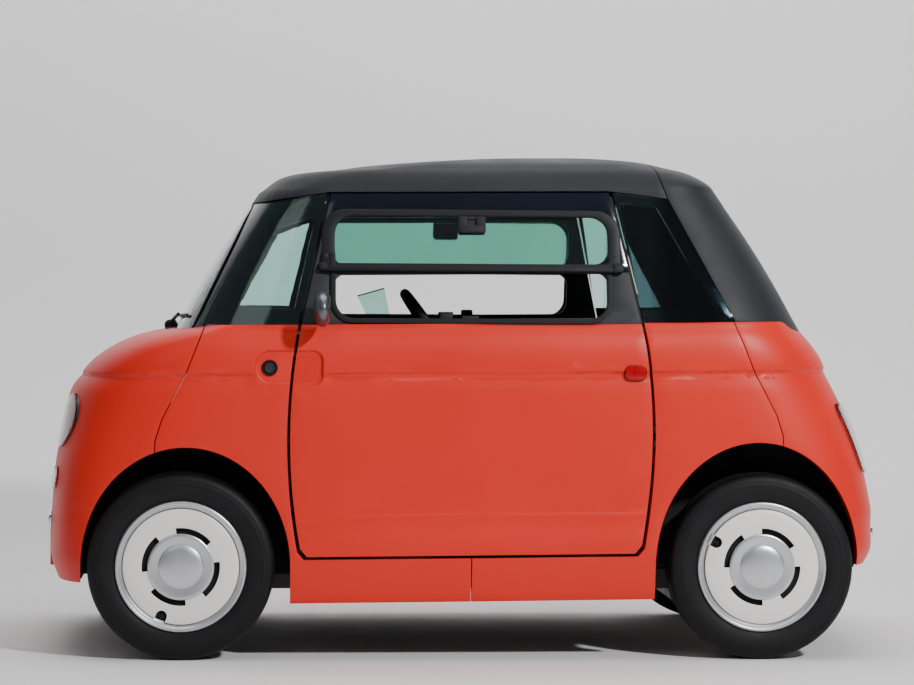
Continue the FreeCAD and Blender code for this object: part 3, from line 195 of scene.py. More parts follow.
def finish(name, colour, rough, drift=0.06, patch=6.0, grain=0.0, grain_scale=900.0, metal=0.0,
           rough_drift=0.06):
    """A procedural finish: drifting colour and gloss, with a fine grain in the skin."""
    material = bpy.data.materials.new(name)
    material.use_nodes = True
    tree = material.node_tree
    shader = tree.nodes["Principled BSDF"]
    shader.inputs["Metallic"].default_value = metal
    place = tree.nodes.new("ShaderNodeTexCoord").outputs["Object"]
    patches = tree.nodes.new("ShaderNodeTexNoise")
    patches.inputs["Scale"].default_value = patch
    patches.inputs["Detail"].default_value = 4.0
    tree.links.new(place, patches.inputs["Vector"])
    ramp = tree.nodes.new("ShaderNodeValToRGB")
    ramp.color_ramp.elements[0].position = 0.3
    ramp.color_ramp.elements[1].position = 0.7
    ramp.color_ramp.elements[0].color = [c * (1 - drift) for c in colour] + [1]
    ramp.color_ramp.elements[1].color = [min(c * (1 + drift), 1.0) for c in colour] + [1]
    tree.links.new(patches.outputs["Fac"], ramp.inputs["Fac"])
    tree.links.new(ramp.outputs["Color"], shader.inputs["Base Color"])
    gloss = tree.nodes.new("ShaderNodeMapRange")
    gloss.inputs["From Min"].default_value = 0.3
    gloss.inputs["From Max"].default_value = 0.7
    gloss.inputs["To Min"].default_value = max(rough - rough_drift, 0.02)
    gloss.inputs["To Max"].default_value = min(rough + rough_drift, 1.0)
    tree.links.new(patches.outputs["Fac"], gloss.inputs["Value"])
    tree.links.new(gloss.outputs["Result"], shader.inputs["Roughness"])
    if grain:
        skin = tree.nodes.new("ShaderNodeTexNoise")
        skin.inputs["Scale"].default_value = grain_scale
        skin.inputs["Detail"].default_value = 2.0
        tree.links.new(place, skin.inputs["Vector"])
        bump = tree.nodes.new("ShaderNodeBump")
        bump.inputs["Strength"].default_value = grain
        bump.inputs["Distance"].default_value = 0.0005
        tree.links.new(skin.outputs["Fac"], bump.inputs["Height"])
        tree.links.new(bump.outputs["Normal"], shader.inputs["Normal"])
    return material


def shader_of(material):
    return material.node_tree.nodes["Principled BSDF"]


# %% Finishes of the body
coral = finish("coral_panel", (0.68, 0.016, 0.006), 0.42, drift=0.035, patch=1.6, grain=0.25)
shader_of(coral).inputs["Specular IOR Level"].default_value = 0.35
roof_black = finish("black_roof", (0.019, 0.020, 0.024), 0.5, drift=0.12, grain=0.5)
gloss_black = finish("black_glaze", (0.004, 0.007, 0.014), 0.10, drift=0.1, rough_drift=0.03)
flap_black = finish("black_flap", (0.0075, 0.008, 0.010), 0.45, drift=0.1, grain=0.4)
plastic = finish("dark_plastic", (0.007, 0.007, 0.0085), 0.5, drift=0.12, grain=0.6)
chrome = finish("chrome", (0.82, 0.83, 0.85), 0.12, drift=0.02, metal=1.0, rough_drift=0.04)
liner_black = finish("arch_liner", (0.012, 0.012, 0.013), 0.8, drift=0.2, patch=10, grain=0.8)
satin_grey = finish("satin_grey", (0.026, 0.027, 0.030), 0.5, drift=0.08, grain=0.6)
steel_black = finish("black_steel", (0.035, 0.035, 0.038), 0.5, drift=0.2, patch=14, grain=0.5)
cast = finish("cast_case", (0.32, 0.33, 0.34), 0.45, drift=0.1, metal=0.8, grain=0.7)
cream = finish("cream_cover", (0.83, 0.82, 0.78), 0.38, drift=0.015, grain=0.15)
silver = finish("silver_ring", (0.62, 0.63, 0.65), 0.32, drift=0.03, metal=0.9, grain=0.15)
rubber = finish("tyre_rubber", (0.0065, 0.0065, 0.0075), 0.55, drift=0.2, patch=18, grain=0.6,
                grain_scale=500)
grip_leather = finish("wheel_grip", (0.012, 0.012, 0.013), 0.55, drift=0.15, patch=30, grain=1.0,
                      grain_scale=400)
cloth = finish("seat_cloth", (0.05, 0.05, 0.055), 0.9, drift=0.15, patch=40, grain=1.0,
               grain_scale=700)
shader_of(cloth).inputs["Sheen Weight"].default_value = 0.3


def tinted(name, tint, rough=0.015):
    """Clear glass whose body is coloured."""
    material = finish(name, tint, rough, drift=0.01, rough_drift=0.008)
    shader_of(material).inputs["Transmission Weight"].default_value = 1.0
    shader_of(material).inputs["IOR"].default_value = 1.45
    return material


side_glass = tinted("side_glass", (0.62, 0.86, 0.79))
screen_glass = tinted("screen_glass", (0.84, 0.94, 0.92))
SHADE_START, SHADE_END = -0.535, -0.60
rear_glass = tinted("rear_quarter_glass", (0.62, 0.86, 0.79))
rear_tree = rear_glass.node_tree
shade_place = rear_tree.nodes.new("ShaderNodeSeparateXYZ")
shade = rear_tree.nodes.new("ShaderNodeMapRange")
shade.inputs["From Min"].default_value = SHADE_START
shade.inputs["From Max"].default_value = SHADE_END
shade_mix = rear_tree.nodes.new("ShaderNodeMix")
shade_mix.data_type = "RGBA"
shade_mix.inputs[7].default_value = (0.10, 0.17, 0.20, 1)
tint_link = shader_of(rear_glass).inputs["Base Color"].links[0]
rear_tree.links.new(tint_link.from_socket, shade_mix.inputs[6])
rear_tree.links.new(rear_tree.nodes["Texture Coordinate"].outputs["Object"], shade_place.inputs[0])
rear_tree.links.new(shade_place.outputs["X"], shade.inputs["Value"])
rear_tree.links.new(shade.outputs["Result"], shade_mix.inputs[0])
rear_tree.links.new(shade_mix.outputs[2], shader_of(rear_glass).inputs["Base Color"])
lamp_glass = tinted("lamp_glass", (0.86, 0.88, 0.9), 0.05)
tail_red = finish("tail_red", (0.05, 0.004, 0.004), 0.08, drift=0.1, rough_drift=0.03)
print("finishes", len(bpy.data.materials))

# %% [markdown]
# A carried-over solid keeps its mesh, and only its material slot changes. This table says which
# finish each solid takes.

# %% Finishes of the solids
FINISH_OF = {
    "front_panel": coral, "rear_panel": coral, "side_panel": coral, "door_shell": coral,
    "roof_panel": roof_black, "rear_upper_panel": roof_black,
    "windscreen_frame": gloss_black, "rear_frame": gloss_black, "door_frame": gloss_black,
    "windscreen": screen_glass, "quarter_glass": side_glass, "quarter_glass_rear": rear_glass,
    "rear_window": side_glass,
    "door_glass": side_glass, "window_flap": flap_black,
    "headlamp": lamp_glass, "indicator": lamp_glass, "tail_lamp": tail_red,
    "front_trim_bar": chrome, "rear_trim_bar": chrome,
    "chassis_frame": steel_black, "floor_pan": plastic, "drive_unit": cast,
    "battery_pack": steel_black, "seat_base": plastic, "seat_left": cloth, "seat_right": cloth,
    "front_suspension": steel_black, "knuckle": cast, "rear_axle": steel_black,
    "tyre": rubber, "wheel": cream, "steering": plastic, "dashboard": plastic,
    "door_mirror": plastic, "arch_liners": liner_black,
}


DULL_SHINE = 0.22
for dull in (roof_black, flap_black, plastic, satin_grey, rubber, liner_black):
    shader_of(dull).inputs["Specular IOR Level"].default_value = DULL_SHINE


def finish_of(node):
    stem = max((key for key in FINISH_OF if node.startswith(key)), key=len)
    return FINISH_OF[stem]


for node, piece in nodes.items():
    piece.data.materials.clear()
    piece.data.materials.append(finish_of(node))
print("dressed", len(nodes), "solids")

# %% [markdown]
# Small pieces are modelled from a few moves. A block gets its edges bevelled in edit mode,
# a turned piece is one profile spun about an axis, and a flat piece is an outline extruded to its
# thickness. These helpers keep those moves in one place.

# %% Modelling moves


def all_in_edit(piece):
    select_only(piece)
    bpy.ops.object.mode_set(mode="EDIT")
    bpy.ops.mesh.select_all(action="SELECT")


def leave_edit():
    bpy.ops.object.mode_set(mode="OBJECT")


def tidy_normals(piece, merge=0.00005):
    all_in_edit(piece)
    bpy.ops.mesh.remove_doubles(threshold=merge)
    bpy.ops.mesh.normals_make_consistent(inside=False)
    leave_edit()


def smooth(piece, angle=35):
    select_only(piece)
    bpy.ops.object.shade_smooth_by_angle(angle=math.radians(angle))
    leave_modifiers(piece)


def leave_modifiers(piece):
    """Apply every modifier the piece still carries."""
    select_only(piece)
    for modifier in list(piece.modifiers):
        bpy.ops.object.modifier_apply(modifier=modifier.name)


def dress(piece, body, material):
    """Give a new piece its finish and its body."""
    if material is not None:
        piece.data.materials.clear()
        piece.data.materials.append(material)
    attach(piece, body)
    return piece


def rounded_block(name, low, high, radius, segments=4):
    """A block with every edge rounded."""
    low, high = Vector(low), Vector(high)
    deselect()
    bpy.ops.mesh.primitive_cube_add(size=1)
    piece = bpy.context.object
    piece.name = name
    piece.data.transform(Matrix.Diagonal((high - low).to_4d()))
    piece.data.transform(Matrix.Translation((low + high) / 2))
    all_in_edit(piece)
    bpy.ops.mesh.bevel(offset=radius, segments=segments, affect="EDGES")
    leave_edit()
    smooth(piece)
    return piece


def spun(name, profile, centre, axis, steps=96):
    """A profile of (radius, height) points turned once about an axis."""
    axis = Vector(axis).normalized()
    side = axis.orthogonal().normalized()
    points = [Vector(centre) + side * radius + axis * height for radius, height in profile]
    piece = add_mesh(name, points, [])
    mesh = piece.data
    mesh.clear_geometry()
    mesh.from_pydata([tuple(p) for p in points], [(i, i + 1) for i in range(len(points) - 1)], [])
    all_in_edit(piece)
    bpy.ops.mesh.spin(steps=steps, angle=2 * math.pi, center=centre, axis=axis)
    leave_edit()
    tidy_normals(piece)
    smooth(piece)
    return piece


def plate(name, outline, depth, bevel=0.0, segments=3):
    """A flat outline extruded along depth, with its edges rounded."""
    piece = add_mesh(name, outline, [tuple(range(len(outline)))])
    all_in_edit(piece)
    bpy.ops.mesh.extrude_region_move(TRANSFORM_OT_translate={"value": tuple(depth)})
    leave_edit()
    tidy_normals(piece)
    if bevel:
        round_edges(piece, bevel, segments)
    smooth(piece)
    return piece


def round_edges(piece, width, segments=3, angle=35):
    select_only(piece)
    rounding = piece.modifiers.new("rounding", "BEVEL")
    rounding.width = width
    rounding.segments = segments
    rounding.limit_method = "ANGLE"
    rounding.angle_limit = math.radians(angle)
    rounding.harden_normals = False
    bpy.ops.object.modifier_apply(modifier=rounding.name)


def tube(name, points, radius, sides=16, closed=False):
    """A round bar along a line of points."""
    curve = bpy.data.curves.new(name, "CURVE")
    curve.dimensions = "3D"
    spline = curve.splines.new("POLY")
    spline.points.add(len(points) - 1)
    for point, place in zip(spline.points, points):
        point.co = (*place, 1)
    spline.use_cyclic_u = closed
    curve.bevel_depth = radius
    curve.bevel_resolution = sides // 4
    curve.use_fill_caps = True
    piece = bpy.data.objects.new(name, curve)
    bpy.context.scene.collection.objects.link(piece)
    select_only(piece)
    bpy.ops.object.convert(target="MESH")
    piece = bpy.context.object
    tidy_normals(piece)
    smooth(piece)
    return piece


SKINS = {}


def strike(node, start, direction):
    """Where a ray first meets a solid, hidden or not, and the skin's normal there."""
    if node not in SKINS:
        mesh = nodes[node].data
        SKINS[node] = BVHTree.FromPolygons([corner.co for corner in mesh.vertices],
                                           [face.vertices[:] for face in mesh.polygons])
    place, normal, _, _ = SKINS[node].ray_cast(Vector(start), Vector(direction))
    return place, normal


def skin_y(node, x, z, side=1):
    """How far out a solid's skin lies at a place on the car's side."""
    place, _ = strike(node, (x, side * 2.0, z), (0, -side, 0))
    return place.y


print("moves are ready")

# %% Outlines and copies


def rounded_outline(low_x, high_x, low_z, high_z, radii, place, steps=10):
    """A rectangle with its own radius at each corner, laid out by a place function."""
    corners = [(high_x, high_z, -1, -1, 0), (low_x, high_z, 1, -1, 90),
               (low_x, low_z, 1, 1, 180), (high_x, low_z, -1, 1, 270)]
    points = []
    for (x, z, in_x, in_z, start), radius in zip(corners, radii):
        for step in range(steps + 1):
            angle = math.radians(start + 90 * step / steps)
            points.append(place(x + in_x * radius + radius * math.cos(angle),
                                z + in_z * radius + radius * math.sin(angle)))
    return points


def ring_plate(name, outer, inner, depth, bevel=0.0, segments=2):
    """A flat ring between two outlines, extruded to its thickness."""
    count = len(outer)
    piece = add_mesh(name, [], [])
    edges = [(i, (i + 1) % count) for i in range(count)]
    edges += [(count + i, count + (i + 1) % len(inner)) for i in range(len(inner))]
    piece.data.from_pydata([tuple(p) for p in list(outer) + list(inner)], edges, [])
    all_in_edit(piece)
    bpy.ops.mesh.bridge_edge_loops()
    bpy.ops.mesh.select_all(action="SELECT")
    bpy.ops.mesh.extrude_region_move(TRANSFORM_OT_translate={"value": tuple(depth)})
    leave_edit()
    tidy_normals(piece)
    if bevel:
        round_edges(piece, bevel, segments)
    smooth(piece)
    return piece


def changed_copy(piece, name, change, turns_over=False):
    """A copy with its own mesh, moved by a matrix."""
    twin = piece.copy()
    twin.data = piece.data.copy()
    twin.name = name
    bpy.context.scene.collection.objects.link(twin)
    twin.data.transform(change)
    if turns_over:
        twin.data.flip_normals()
    return twin


ACROSS = Matrix.Diagonal((1, -1, 1, 1))
DOOR_MIDDLE = -0.003
TO_RIGHT_DOOR = Matrix.Translation((2 * DOOR_MIDDLE, 0, 0)) @ Matrix.Diagonal((-1, -1, 1, 1))


def join(name, pieces):
    """Several shapes made one piece."""
    deselect()
    for piece in pieces:
        piece.select_set(True)
    bpy.context.view_layer.objects.active = pieces[0]
    if len(pieces) > 1:
        bpy.ops.object.join()
    pieces[0].name = name
    return pieces[0]


def remove(piece):
    bpy.data.objects.remove(piece, do_unlink=True)


def carve(piece, cutter):
    """Cut one closed shape out of another."""
    select_only(piece)
    cut = piece.modifiers.new("carve", "BOOLEAN")
    cut.operation = "DIFFERENCE"
    cut.solver = "EXACT"
    cut.object = cutter
    bpy.ops.object.modifier_apply(modifier=cut.name)


print("outline moves are ready")

# %% [markdown]
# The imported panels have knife-sharp edges. On the real car every edge of a moulded panel is
# rounded, and the shut lines read as soft dark grooves because of it. Each panel is copied, its
# loose triangles are merged, and a bevel rounds its edges; the copy then stands for the solid.
# Before the bevel, a soft scoop is carved where a hand reaches for the door button. It runs over
# the shut line, and the right door is the same moulding turned round, so its scoop is at the
# other end.

# %% Scoop at the door button
BUTTON = Vector((0.5957, 0.0, 0.8658))
SCOOP_LOW_X, SCOOP_HIGH_X = 0.437, 0.640
SCOOP_HALF = 0.052
SCOOP_DEPTH = 0.012


def body_of(node):
    for name, members in frame["record"]["behaviour"]["bodies"].items():
        if node in members:
            return name
    return None


skin_out = skin_y("side_panel_front_left", 0.58, BUTTON.z)
scoop_floor = skin_out - SCOOP_DEPTH
scoop_outline = rounded_outline(SCOOP_LOW_X, SCOOP_HIGH_X, BUTTON.z - SCOOP_HALF,
                                BUTTON.z + SCOOP_HALF, (0.051, 0.030, 0.030, 0.051),
                                lambda x, z: Vector((x, scoop_floor, z)), steps=14)
scoop_left = plate("scoop_left", scoop_outline, (0, 0.08, 0), bevel=0.0085, segments=5)
scoop_right = changed_copy(scoop_left, "scoop_right", TO_RIGHT_DOOR)
scoops = {"left": scoop_left, "right": scoop_right}
print("scoop floor at", round(scoop_floor, 4))

# %% [markdown]
# Two creases stiffen the sides: one runs along the whole car below the windows, the other across
# the foot of each door. A crease is a small step, so the panels are sliced along it at several
# heights, and the points between the slices are pushed in by a profile. Slices keep the long faces
# clean, where a cut with a solid would leave ragged ones. The crease stops at the scoop and fades
# towards the nose and the tail. The eyes of the hinges, which show in the shut line, are painted
# black as painted shade, so they read as the dark gap.

# %% Rounded copies of the panels
ROUNDED = {
    # node stem: (edge radius, finish, slot)
    "front_panel": (0.003, coral, "body_colour"),
    "rear_panel": (0.003, coral, "body_colour"),
    "side_panel": (0.003, coral, "body_colour"),
    "door_shell": (0.003, coral, "body_colour"),
    "roof_panel": (0.003, roof_black, "roof_black"),
    "rear_upper_panel": (0.003, roof_black, "roof_black"),
    "dashboard": (0.014, plastic, "trim_plastic"),
    "steering_wheel": (0.003, grip_leather, "trim_plastic"),
    "arch_liners": (0.0008, liner_black, "trim_plastic"),
}
SCOOPED = {"side_panel_front_left": "left", "door_shell_left": "left",
           "side_panel_rear_right": "right", "door_shell_right": "right"}


def copy_of(node, name):
    """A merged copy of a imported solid, with its mesh free to change."""
    piece = nodes[node].copy()
    piece.data = nodes[node].data.copy()
    piece.name = name
    piece.parent = None
    for key in list(piece.keys()):
        del piece[key]
    bpy.context.scene.collection.objects.link(piece)
    piece.hide_viewport = piece.hide_render = False
    piece.hide_set(False)
    all_in_edit(piece)
    bpy.ops.mesh.remove_doubles(threshold=0.00002)
    leave_edit()
    return piece


CREASE_TILT = -0.008
BELT_CREASE = 0.8545
BELT_PROFILE = (  # height above the crease, depth pressed in
    (-0.052, 0.0), (-0.036, 0.0011), (-0.020, 0.0024), (-0.008, 0.0034), (-0.0012, 0.0037),
    (0.0012, 0.0024), (0.006, 0.0013), (0.016, 0.0004), (0.030, 0.0))
DOOR_CREASE = 0.4285
DOOR_PROFILE = (
    (-0.088, 0.0), (-0.065, 0.0012), (-0.040, 0.0026), (-0.016, 0.0026), (-0.006, 0.0013),
    (0.0, 0.0), (0.010, 0.0014), (0.028, 0.0028), (0.055, 0.0024), (0.100, 0.0011), (0.150, 0.0))
CREASED = ("side_panel", "door_shell", "front_panel", "rear_panel")
QUIET_FADE = 0.020
NOSE_HALF, NOSE_FADE = 0.30, 0.20


def depth_at(profile, rise):
    for (low, shallow), (high, deep) in zip(profile, profile[1:]):
        if low <= rise < high:
            return shallow + (deep - shallow) * (rise - low) / (high - low)
    return 0.0


def slice_at(piece, place, normal):
    all_in_edit(piece)
    bpy.ops.mesh.bisect(plane_co=place, plane_no=normal)
    leave_edit()


def press_crease(piece, level, profile, quiet=None):
    """Press a long crease into a panel, apart from a quiet stretch of its length."""
    for rise, _ in profile:
        slice_at(piece, (0, 0, level + rise), (-CREASE_TILT, 0, 1))
    low, high = quiet if quiet else (0, 0)
    for x in (low - QUIET_FADE, low, high, high + QUIET_FADE) if quiet else ():
        slice_at(piece, (x, 0, 0), (1, 0, 0))
    for corner in piece.data.vertices:
        x, y, z = corner.co
        depth = depth_at(profile, z - level - CREASE_TILT * x)
        if quiet:
            depth *= min(max(low - x, x - high, 0) / QUIET_FADE, 1)
        depth *= min(max((abs(y) - NOSE_HALF) / NOSE_FADE, 0), 1)
        corner.co.y -= math.copysign(depth, y)


HINGE_REACH, HINGE_RISE = (0.530, 0.552), (0.60, 0.72)


def paint_hinge_shade(piece):
    """Painted shade: the hinge eyes in the shut line get black faces, as the dark gap."""
    piece.data.materials.append(plastic)
    corners = piece.data.vertices
    for face in piece.data.polygons:
        places = [corners[index].co for index in face.vertices]
        if all(HINGE_REACH[0] < abs(place.x - DOOR_MIDDLE) < HINGE_REACH[1] and
               HINGE_RISE[0] < place.z < HINGE_RISE[1] for place in places):
            face.material_index = 1


QUIET = {"left": (SCOOP_LOW_X, SCOOP_HIGH_X),
         "right": (2 * DOOR_MIDDLE - SCOOP_HIGH_X, 2 * DOOR_MIDDLE - SCOOP_LOW_X)}
panels = {}
for stem, (radius, material, slot) in ROUNDED.items():
    for node in sorted(n for n in nodes if n.startswith(stem)):
        panel = copy_of(node, node + "_skin")
        if node in SCOOPED:
            carve(panel, scoops[SCOOPED[node]])
        round_edges(panel, radius, 3, angle=40)
        if node.startswith(CREASED):
            press_crease(panel, BELT_CREASE, BELT_PROFILE, QUIET.get(SCOOPED.get(node)))
        if node.startswith("door_shell"):
            press_crease(panel, DOOR_CREASE, DOOR_PROFILE)
        smooth(panel, 40)
        dress(panel, body_of(node), material)
        # Painted shade on the hinge eyes, so the shut line stays dark.
        if node.startswith(("side_panel", "door_shell")):
            paint_hinge_shade(panel)
        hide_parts(node)
        panels[node] = panel
        print(panel.name, len(panel.data.polygons))
for cutter in scoops.values():
    remove(cutter)

# %% Door button
bezel = spun("button_bezel_left", [(0, 0), (0.0235, 0), (0.0235, 0.005), (0.0215, 0.0075),
                                   (0.0195, 0.0075), (0.0180, 0.0055), (0.0165, 0.0055),
                                   (0, 0.0055)],
             (BUTTON.x, scoop_floor - 0.001, BUTTON.z), (0, 1, 0), 64)
button = spun("button_cap_left", [(0, 0), (0.0150, 0), (0.0150, 0.0085), (0.0138, 0.0100),
                                  (0.0110, 0.0098), (0.0095, 0.0088), (0, 0.0094)],
              (BUTTON.x, scoop_floor - 0.001, BUTTON.z), (0, 1, 0), 64)
for piece, material in ((bezel, plastic), (button, satin_grey)):
    twin = changed_copy(piece, piece.name.replace("left", "right"), TO_RIGHT_DOOR)
    dress(piece, "car", material)
    dress(twin, "car", material)
print("buttons", tuple(round(v, 3) for v in BUTTON))

# %% [markdown]
# Each wheel is a pressed steel rim under a pale cover, with a bright ring round it and a satin cap
# in the middle. Everything is round, so each layer is one profile spun about the axle. The four
# slots and the notch for the valve are then cut through the cover with closed cutters, because a
# cut keeps their edges straight where deleted faces would leave steps.

# %% Wheel layers
WHEEL_Y, WHEEL_Z = 0.600, 0.278
AXLES = {"front": 0.8545, "rear": -0.8735}
VALVE_CLOCK = {"front": -158.7, "rear": -62.0}


def wheel_layer(name, profile, steps=128):
    points = [(radius * MM, height * MM) for radius, height in profile]
    return spun(name, points, (0, 0, 0), (0, 1, 0), steps)


def clock_point(radius, degrees, y):
    """A place on the wheel by its clock angle, as seen from outside on the left."""
    angle = math.radians(degrees)
    return Vector((-radius * math.sin(angle), y, radius * math.cos(angle)))


barrel = wheel_layer("wheel_barrel", [
    (191, -70), (191, -65.5), (184, -60), (184, 60), (189, 65), (189, 69), (185, 69), (178, 58),
    (178, -58), (184, -66), (184.5, -70), (191, -70)])
web = wheel_layer("wheel_web", [
    (21, 30), (60, 32), (80, 47), (150, 44), (178.2, 36), (178.2, 33), (150, 40), (80, 43),
    (62, 27), (21, 25), (21, 30)])
rim = join("wheel_rim", [barrel, web])
backing = wheel_layer("wheel_backing", [(62, 60), (62, 62), (177.5, 62), (177.5, 60), (62, 60)])
cover = wheel_layer("wheel_cover", [
    (171, 69), (170.4, 71.2), (168, 72.6), (150, 74.8), (128, 76), (112, 75.8), (97, 74.4),
    (97, 71.5), (112, 72.8), (128, 73), (150, 71.6), (167, 69), (171, 69)], 192)
cap = wheel_layer("wheel_cap", [
    (0, 70), (98, 70), (98.6, 74), (97.6, 77.6), (94.5, 79.6), (90, 79.8), (78, 78.2), (70, 77.4),
    (67.6, 77.2), (66.6, 76.2), (65.6, 77.6), (62, 79.6), (48, 82.6), (28, 84.8), (0, 85.6)], 128)
trim = wheel_layer("wheel_trim", [
    (168.5, 64), (171.5, 64.4), (182.6, 74.6), (183.6, 76), (185.2, 77.4), (188, 77.8),
    (191, 76.8), (193.2, 74.2), (193.8, 71.6), (193, 70), (184, 69.4), (174, 62.6),
    (168.5, 62.4), (168.5, 64)], 128)
print("wheel layers", [len(p.data.polygons) for p in (rim, backing, cover, cap, trim)])

# %% Slots and valve notch
SLOT_SPAN = 58
SLOT_LOW, SLOT_HIGH = 0.094, 0.1150
NOTCH_HALF = 0.0165
NOTCH_END = 0.139


def slot_cutter(middle):
    steps = 14
    angles = [middle - SLOT_SPAN / 2 + SLOT_SPAN * i / steps for i in range(steps + 1)]
    outline = [clock_point(SLOT_HIGH, a, 0.060) for a in angles]
    outline += [clock_point(SLOT_LOW, a, 0.060) for a in reversed(angles)]
    return plate("slot_cutter", outline, (0, 0.03, 0))


def notch_cutter():
    outline = [Vector((-NOTCH_HALF, 0.060, 0.178)), Vector((NOTCH_HALF, 0.060, 0.178))]
    for step in range(13):
        angle = math.radians(180 * step / 12)
        outline.append(Vector((NOTCH_HALF * math.cos(angle), 0.060,
                               NOTCH_END + NOTCH_HALF * (1 - math.sin(angle)))))
    return plate("notch_cutter", outline, (0, 0.03, 0))


cutters = [slot_cutter(90 * turn) for turn in range(4)]
cutters.append(notch_cutter())
cutter = join("cover_cutter", cutters)
carve(cover, cutter)
remove(cutter)
round_edges(cover, 0.0006, 2, angle=50)
smooth(cover, 40)
valve = spun("wheel_valve", [(0, 0), (0.004, 0), (0.004, 0.009), (0.0052, 0.010), (0.0052, 0.0125),
                             (0.0045, 0.0135), (0, 0.0138)],
             clock_point(0.154, 0, 0.0605), (0, 1, 0), 24)
print("cover faces", len(cover.data.polygons))

# %% [markdown]
# The tyre has a plain side wall with raised rings, and a road tread with four grooves. The section
# is spun in fine steps, so that a tread cut is one step wide: the faces of every third step of the
# shoulder are chosen by their angle and pushed inwards, which leaves real blocks.

# %% Tyre
TYRE_HALF_SECTION = [
    (184.6, 60), (185.2, 64.5), (188, 67), (193, 68.4), (196, 68.6), (199, 70.2), (206, 72.8),
    (216, 75.2), (226, 76.4), (234, 76.6), (240.2, 76.3), (240.8, 77.3), (243.2, 77.1),
    (243.8, 75.9), (250, 74.9), (253.2, 74.1), (253.8, 74.9), (256, 74.4), (256.6, 73.2),
    (262, 71.3), (267, 68.4), (270.6, 64.8), (273.4, 60.6), (275.4, 55.4), (276.6, 48),
    (277.2, 36), (277.2, 34.6), (271, 34), (271, 27), (277.5, 26.4), (277.8, 11.4), (271, 10.8),
    (271, 4.6), (277.9, 4.0)]
TREAD_STEPS = 540
SHOULDER_CUT_EVERY, RIB_CUT_EVERY = 3, 6


def step_of(place):
    """Number of the spin step that holds a place on the tyre."""
    return int((math.atan2(-place.x, place.z) / (2 * math.pi) % 1) * TREAD_STEPS)


tyre = wheel_layer("tyre", TYRE_HALF_SECTION + [(r, -h) for r, h in reversed(TYRE_HALF_SECTION)]
                   + TYRE_HALF_SECTION[:1], TREAD_STEPS)
for face in tyre.data.polygons:
    middle = face.center
    radius = math.hypot(middle.x, middle.z) / MM
    across = abs(middle.y) / MM
    step = step_of(middle) + (2 if middle.y > 0 else 0)
    on_shoulder = radius > 263 and across > 36.5 and step % SHOULDER_CUT_EVERY == 0
    on_rib = radius > 277 and 12 < across < 26 and step % RIB_CUT_EVERY == 0
    face.select = on_shoulder or on_rib
chosen = sum(face.select for face in tyre.data.polygons)
select_only(tyre)
bpy.ops.object.mode_set(mode="EDIT")
bpy.ops.mesh.select_mode(type="FACE")
bpy.ops.mesh.extrude_region_shrink_fatten(TRANSFORM_OT_shrink_fatten={"value": -0.0034})
leave_edit()
smooth(tyre, 30)
print("tread cuts", chosen, "faces", len(tyre.data.polygons))

# %% Four wheels
WHEEL_PARTS = [
    # master, name, finish, slot, node replaced
    (tyre, "tyre_tread", rubber, "tyre", "tyre"),
    (rim, "wheel_rim", steel_black, "chassis_steel", "wheel"),
    (backing, "wheel_backing", liner_black, "chassis_steel", None),
    (cover, "wheel_cover", cream, "wheel_cream", None),
    (cap, "wheel_cap", silver, "chrome", None),
    (trim, "wheel_trim", silver, "chrome", None),
    (valve, "wheel_valve", plastic, "trim_plastic", None),
]
for axle, axle_x in AXLES.items():
    for side, sign in (("left", 1), ("right", -1)):
        spin = Matrix.Rotation(math.radians(-VALVE_CLOCK[axle]), 4, "Y")
        place = Matrix.Translation((axle_x, sign * WHEEL_Y, WHEEL_Z))
        change = place @ Matrix.Diagonal((1, sign, 1, 1)) @ spin
        for master, name, material, slot, node in WHEEL_PARTS:
            piece = changed_copy(master, f"{name}_{axle}_{side}", change, turns_over=sign < 0)
            dress(piece, f"wheel_{axle}_{side}", material)
            if node:
                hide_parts(f"{node}_{axle}_{side}")
for master, *_ in WHEEL_PARTS:
    remove(master)
print("wheels dressed", len(AXLES) * 2)

# %% [markdown]
# Each door's window has two parts: a fixed frame with a dark glossy border, and a flap that tips
# up, with its own black ring and tinted pane. Below the flap the frame is grained plastic. The two
# doors are the same moulding turned round, so every piece is made on the left door and turned
# about the middle of the car for the right one.

# %% Places on the door's window frame
PROBE_LOW, PROBE_HIGH = 1.160, 1.350
frame_low = Vector((0, skin_y("door_frame_left", DOOR_MIDDLE, PROBE_LOW), PROBE_LOW))
frame_high = Vector((0, skin_y("door_frame_left", DOOR_MIDDLE, PROBE_HIGH), PROBE_HIGH))
UP_FRAME = (frame_high - frame_low).normalized()
OUT_FRAME = Vector((0, UP_FRAME.z, -UP_FRAME.y))


def on_door(x, z, out=0.0):
    """A place over the window frame, which leans inwards to the roof."""
    share = (z - PROBE_LOW) / (PROBE_HIGH - PROBE_LOW)
    return frame_low.lerp(frame_high, share) + OUT_FRAME * out + Vector((x, 0, 0))


def on_both_doors(piece, material, node=None):
    """Dress a left piece and its turned copy for the right door."""
    name = piece.name
    twin = changed_copy(piece, name + "_right", TO_RIGHT_DOOR)
    piece.name = name + "_left"
    for one, side in ((piece, "left"), (twin, "right")):
        dress(one, f"door_{side}", material)
        if node:
            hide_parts(f"{node}_{side}")
    return piece, twin


print("frame leans", round(math.degrees(math.atan2(-UP_FRAME.y, UP_FRAME.z)), 1), "degrees")

# %% Window frame in two finishes
SPLIT_Z = 1.1535
for side in ("left", "right"):
    node = f"door_frame_{side}"
    for part, material, is_upper in (("upper", gloss_black, True), ("lower", satin_grey, False)):
        piece = copy_of(node, f"{node}_{part}")
        all_in_edit(piece)
        bpy.ops.mesh.bisect(plane_co=(0, 0, SPLIT_Z), plane_no=(0, 0, 1), use_fill=True,
                            clear_inner=is_upper, clear_outer=not is_upper)
        leave_edit()
        tidy_normals(piece, 0.00002)
        round_edges(piece, 0.0015, 2, angle=40)
        smooth(piece, 40)
        dress(piece, f"door_{side}", material)
    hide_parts(node)
print("frames split at", SPLIT_Z)

